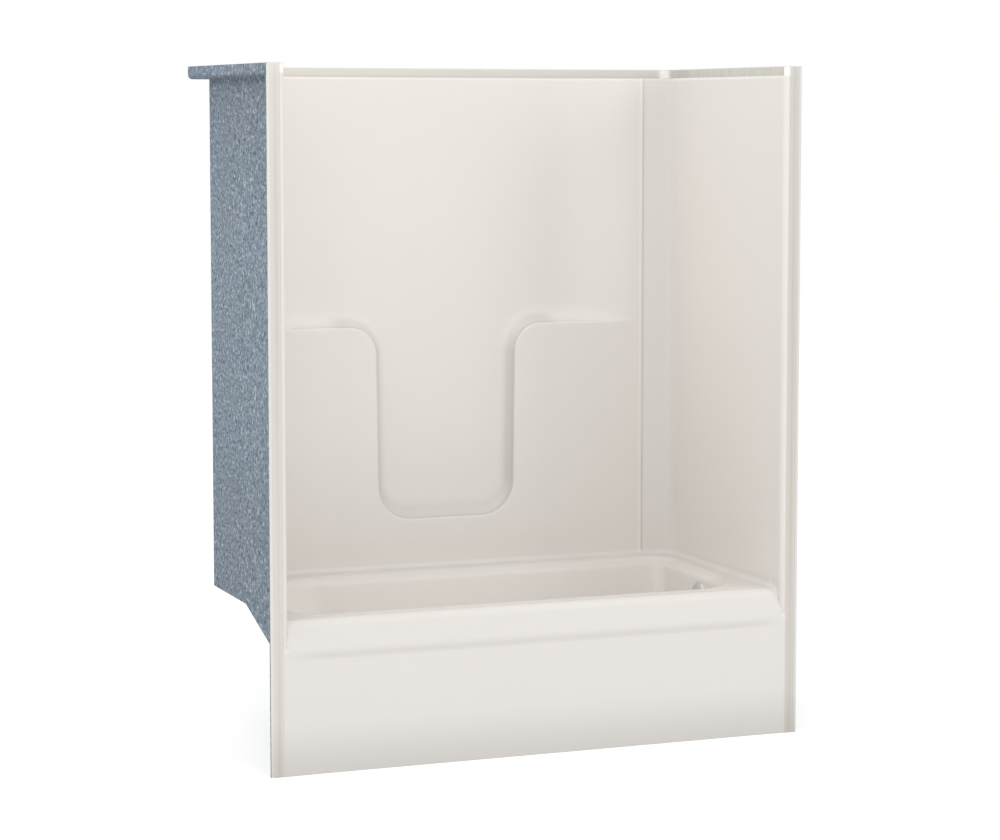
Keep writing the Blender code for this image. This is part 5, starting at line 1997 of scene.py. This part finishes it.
    def build(self, finishes: dict[str, bpy.types.Material]) -> list[Piece]:
        """Model and dress every piece of the set.

        Args:
            finishes: the finishes by slot.

        Returns:
            The pieces.
        """
        made = [(self.plate(), "overflow_plate", "chrome")]
        made += [(self.screw(node, self.plate_screw, (-1, 0, 0)), node, "chrome")
                 for node in ("front_plate_screw", "rear_plate_screw")]
        made += [(self.flange(), "drain_flange", "chrome"),
                 (self.strainer(), "strainer_cover", "chrome")]
        node = "strainer_screw"
        made.append((self.screw(node, self.strainer_screw, (0, 0, 1)), node, "chrome"))
        made += [(self.nut(node), node, "black_pipe") for node in self.nuts]
        return [Bench.dress(piece, finishes[slot], slot, [node]) for piece, node, slot in made]


@dataclass(frozen=True)
class Framing:
    """The plywood boards, bearers, posts and rail behind the moulding, with broken edges."""

    slot: str = "plain_board"
    edge: float = 0.0012

    def build(self, finishes: dict[str, bpy.types.Material]) -> list[Piece]:
        """Model and dress each board that is square to the axes, in its node's place.

        Args:
            finishes: the finishes by slot.

        Returns:
            The boards.
        """
        boards = []
        for part in frame["record"]["subparts"]:
            node = part["node"]
            low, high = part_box(node)
            corners = {tuple(round(value, 5) for value in vert.co)
                       for vert in frame["nodes"][node].data.vertices}
            square = all(min(abs(value - low[i]), abs(value - high[i])) <= 0.0001
                         for corner in corners for i, value in enumerate(corner))
            if part["material_slot"] == self.slot and len(corners) == 8 and square:
                board = Bench.block(f"sawn_{node}", low, high, self.edge)
                boards.append(Bench.dress(board, finishes[self.slot], self.slot, [node], 30.0))
        return boards


# ---------------------------------------------------------------- studio

@dataclass(frozen=True)
class Studio:
    """A pale floor, a white background, soft lamps and a camera at the photograph's angle."""

    lens: float = 108.661
    shift: float = -0.00213
    camera_at: Spot = (-3.18709, -7.63775, 1.68967)
    camera_turn: Spot = (84.32139, 0.0, -22.87603)
    floor_size: float = 24.0
    floor_height: float = -0.0005
    floor_color: Spot = (0.60, 0.60, 0.60)
    floor_pale: Spot = (0.62, 0.62, 0.62)
    floor_cloud: Spot = (0.6, 2.0, 0.5)
    floor_shine: float = 0.62
    # Dimmer glow of the floor near the object: painted shade.
    shaded_near_glow: float = 0.86
    near: Flat = (2.2, 0.9)
    sky: float = 0.69
    white: Spot = (1.0, 1.0, 1.0)
    black: Spot = (0.0, 0.0, 0.0)
    lamps: tuple[tuple[str, Spot, Spot, Flat, float], ...] = (
        ("front_lamp", (-1.2, -4.6, 3.3), (0.0, 0.0, 0.9), (4.0, 2.5), 67.5),
        ("left_lamp", (-4.2, -3.6, 3.0), (0.0, 0.0, 0.9), (3.0, 3.0), 26.0),
        ("right_lamp", (4.0, -3.6, 3.0), (0.0, 0.0, 0.9), (3.0, 3.0), 82.5),
        ("raised_lamp", (-3.5, -1.5, 4.5), (0.5, 0.0, 0.9), (2.5, 2.5), 22.0),
        ("alcove_lamp", (-1.8, -0.6, 4.2), (0.7, 0.0, 1.2), (2.0, 1.5), 21.5),
        ("side_lamp", (-5.0, -0.5, 1.5), (0.0, 0.0, 0.9), (3.0, 3.0), 14.5),
    )

    def floor(self) -> None:
        """Lay the floor. It shows as white to the camera and keeps the shadow."""
        Bench.rest()
        bpy.ops.mesh.primitive_plane_add(
            size=self.floor_size, location=(0.0, 0.0, self.floor_height))
        plane = Bench.settled("studio_floor")
        graph = Graph("pale_studio_floor")
        # Painted shade: the floor glows less near the object, which darkens its shadow there.
        away = graph.axes["w"].larger(graph.axes["y"].magnitude()).above(*self.near)
        shine = graph.mix(away, (self.shaded_near_glow,) * 3, self.white)
        plane.data.materials.append(graph.finish({
            "Base Color": graph.mix(graph.noise(self.floor_cloud), self.floor_color,
                                    self.floor_pale),
            "Roughness": 0.85,
            "Specular IOR Level": 0.2,
            "Emission Color": graph.mix(graph.looked_at(), self.black, shine),
            "Emission Strength": self.floor_shine,
        }))

    def world(self) -> None:
        """Light from all round, and show white where the camera looks past the object."""
        graph = Graph("studio_sky", "worlds", "Background")
        strength = self.sky + graph.looked_at() * (1.0 - self.sky)
        bpy.context.scene.world = graph.finish({"Color": self.white, "Strength": strength})

    @staticmethod
    def lamp(name: str, place: Spot, target: Spot, size: Flat, power: float) -> None:
        """Hang one soft rectangular lamp, which leaves no glint on the gloss.

        Args:
            name: its name.
            place: where it hangs.
            target: what it looks at.
            size: its width and height.
            power: its power in watts.
        """
        Bench.rest()
        turn = (Vector(target) - Vector(place)).to_track_quat("-Z", "Y").to_euler()
        bpy.ops.object.light_add(type="AREA", location=place, rotation=turn)
        lamp = bpy.context.object
        lamp.name = name
        lamp.data.shape = "RECTANGLE"
        lamp.data.size, lamp.data.size_y = size
        lamp.data.energy = power
        lamp.visible_glossy = False

    def camera(self) -> None:
        """Set the camera."""
        Bench.rest()
        turn = tuple(math.radians(value) for value in self.camera_turn)
        bpy.ops.object.camera_add(location=self.camera_at, rotation=turn)
        camera = bpy.context.object
        camera.name = "camera"
        camera.data.sensor_width = 36.0
        camera.data.lens = self.lens
        camera.data.shift_y = self.shift
        camera.data.clip_end = 50.0
        bpy.context.scene.camera = camera
        bpy.context.scene.view_settings.view_transform = "Standard"

    def build(self) -> None:
        """Set up the whole studio."""
        self.floor()
        self.world()
        for lamp in self.lamps:
            self.lamp(*lamp)
        self.camera()


def dress_nodes(finishes: dict[str, bpy.types.Material]) -> None:
    """Give each node that is still shown the finish of its material slot.

    Args:
        finishes: the finishes by slot.
    """
    slots = {part["node"]: part["material_slot"] for part in frame["record"]["subparts"]}
    for name, obj in frame["nodes"].items():
        for slot in obj.material_slots:
            slot.material = finishes[slots[name]]


def main() -> None:
    """Build every sub-assembly and report its pieces."""
    logging.basicConfig(level=logging.INFO, format="%(message)s")
    finishes = {
        "biscuit_gloss": GlossMoulding().make(),
        "blue_grey_laminate": ChoppedLaminate().make(),
        "plain_board": PlyBoard().make(),
        "chrome": BrightMetal().make(),
        "brass": BrightMetal("drawn_brass", (0.73, 0.56, 0.28), (0.60, 0.44, 0.20),
                             (0.22, 0.10, 0.04)).make(),
        "black_pipe": PipePlastic().make(),
        "black_rubber": SoftRubber().make(),
    }
    plan = AlcovePlan()
    well = BathingWell(plan)
    for assembly in (Moulding(plan, RimSection(plan), BackWall(plan), well), WasteSet(well),
                     Framing()):
        for piece in assembly.build(finishes):
            LOG.info("%s: %d faces", piece.name, len(piece.data.polygons))
    dress_nodes(finishes)
    Studio().build()


if __name__ == "__main__":
    main()
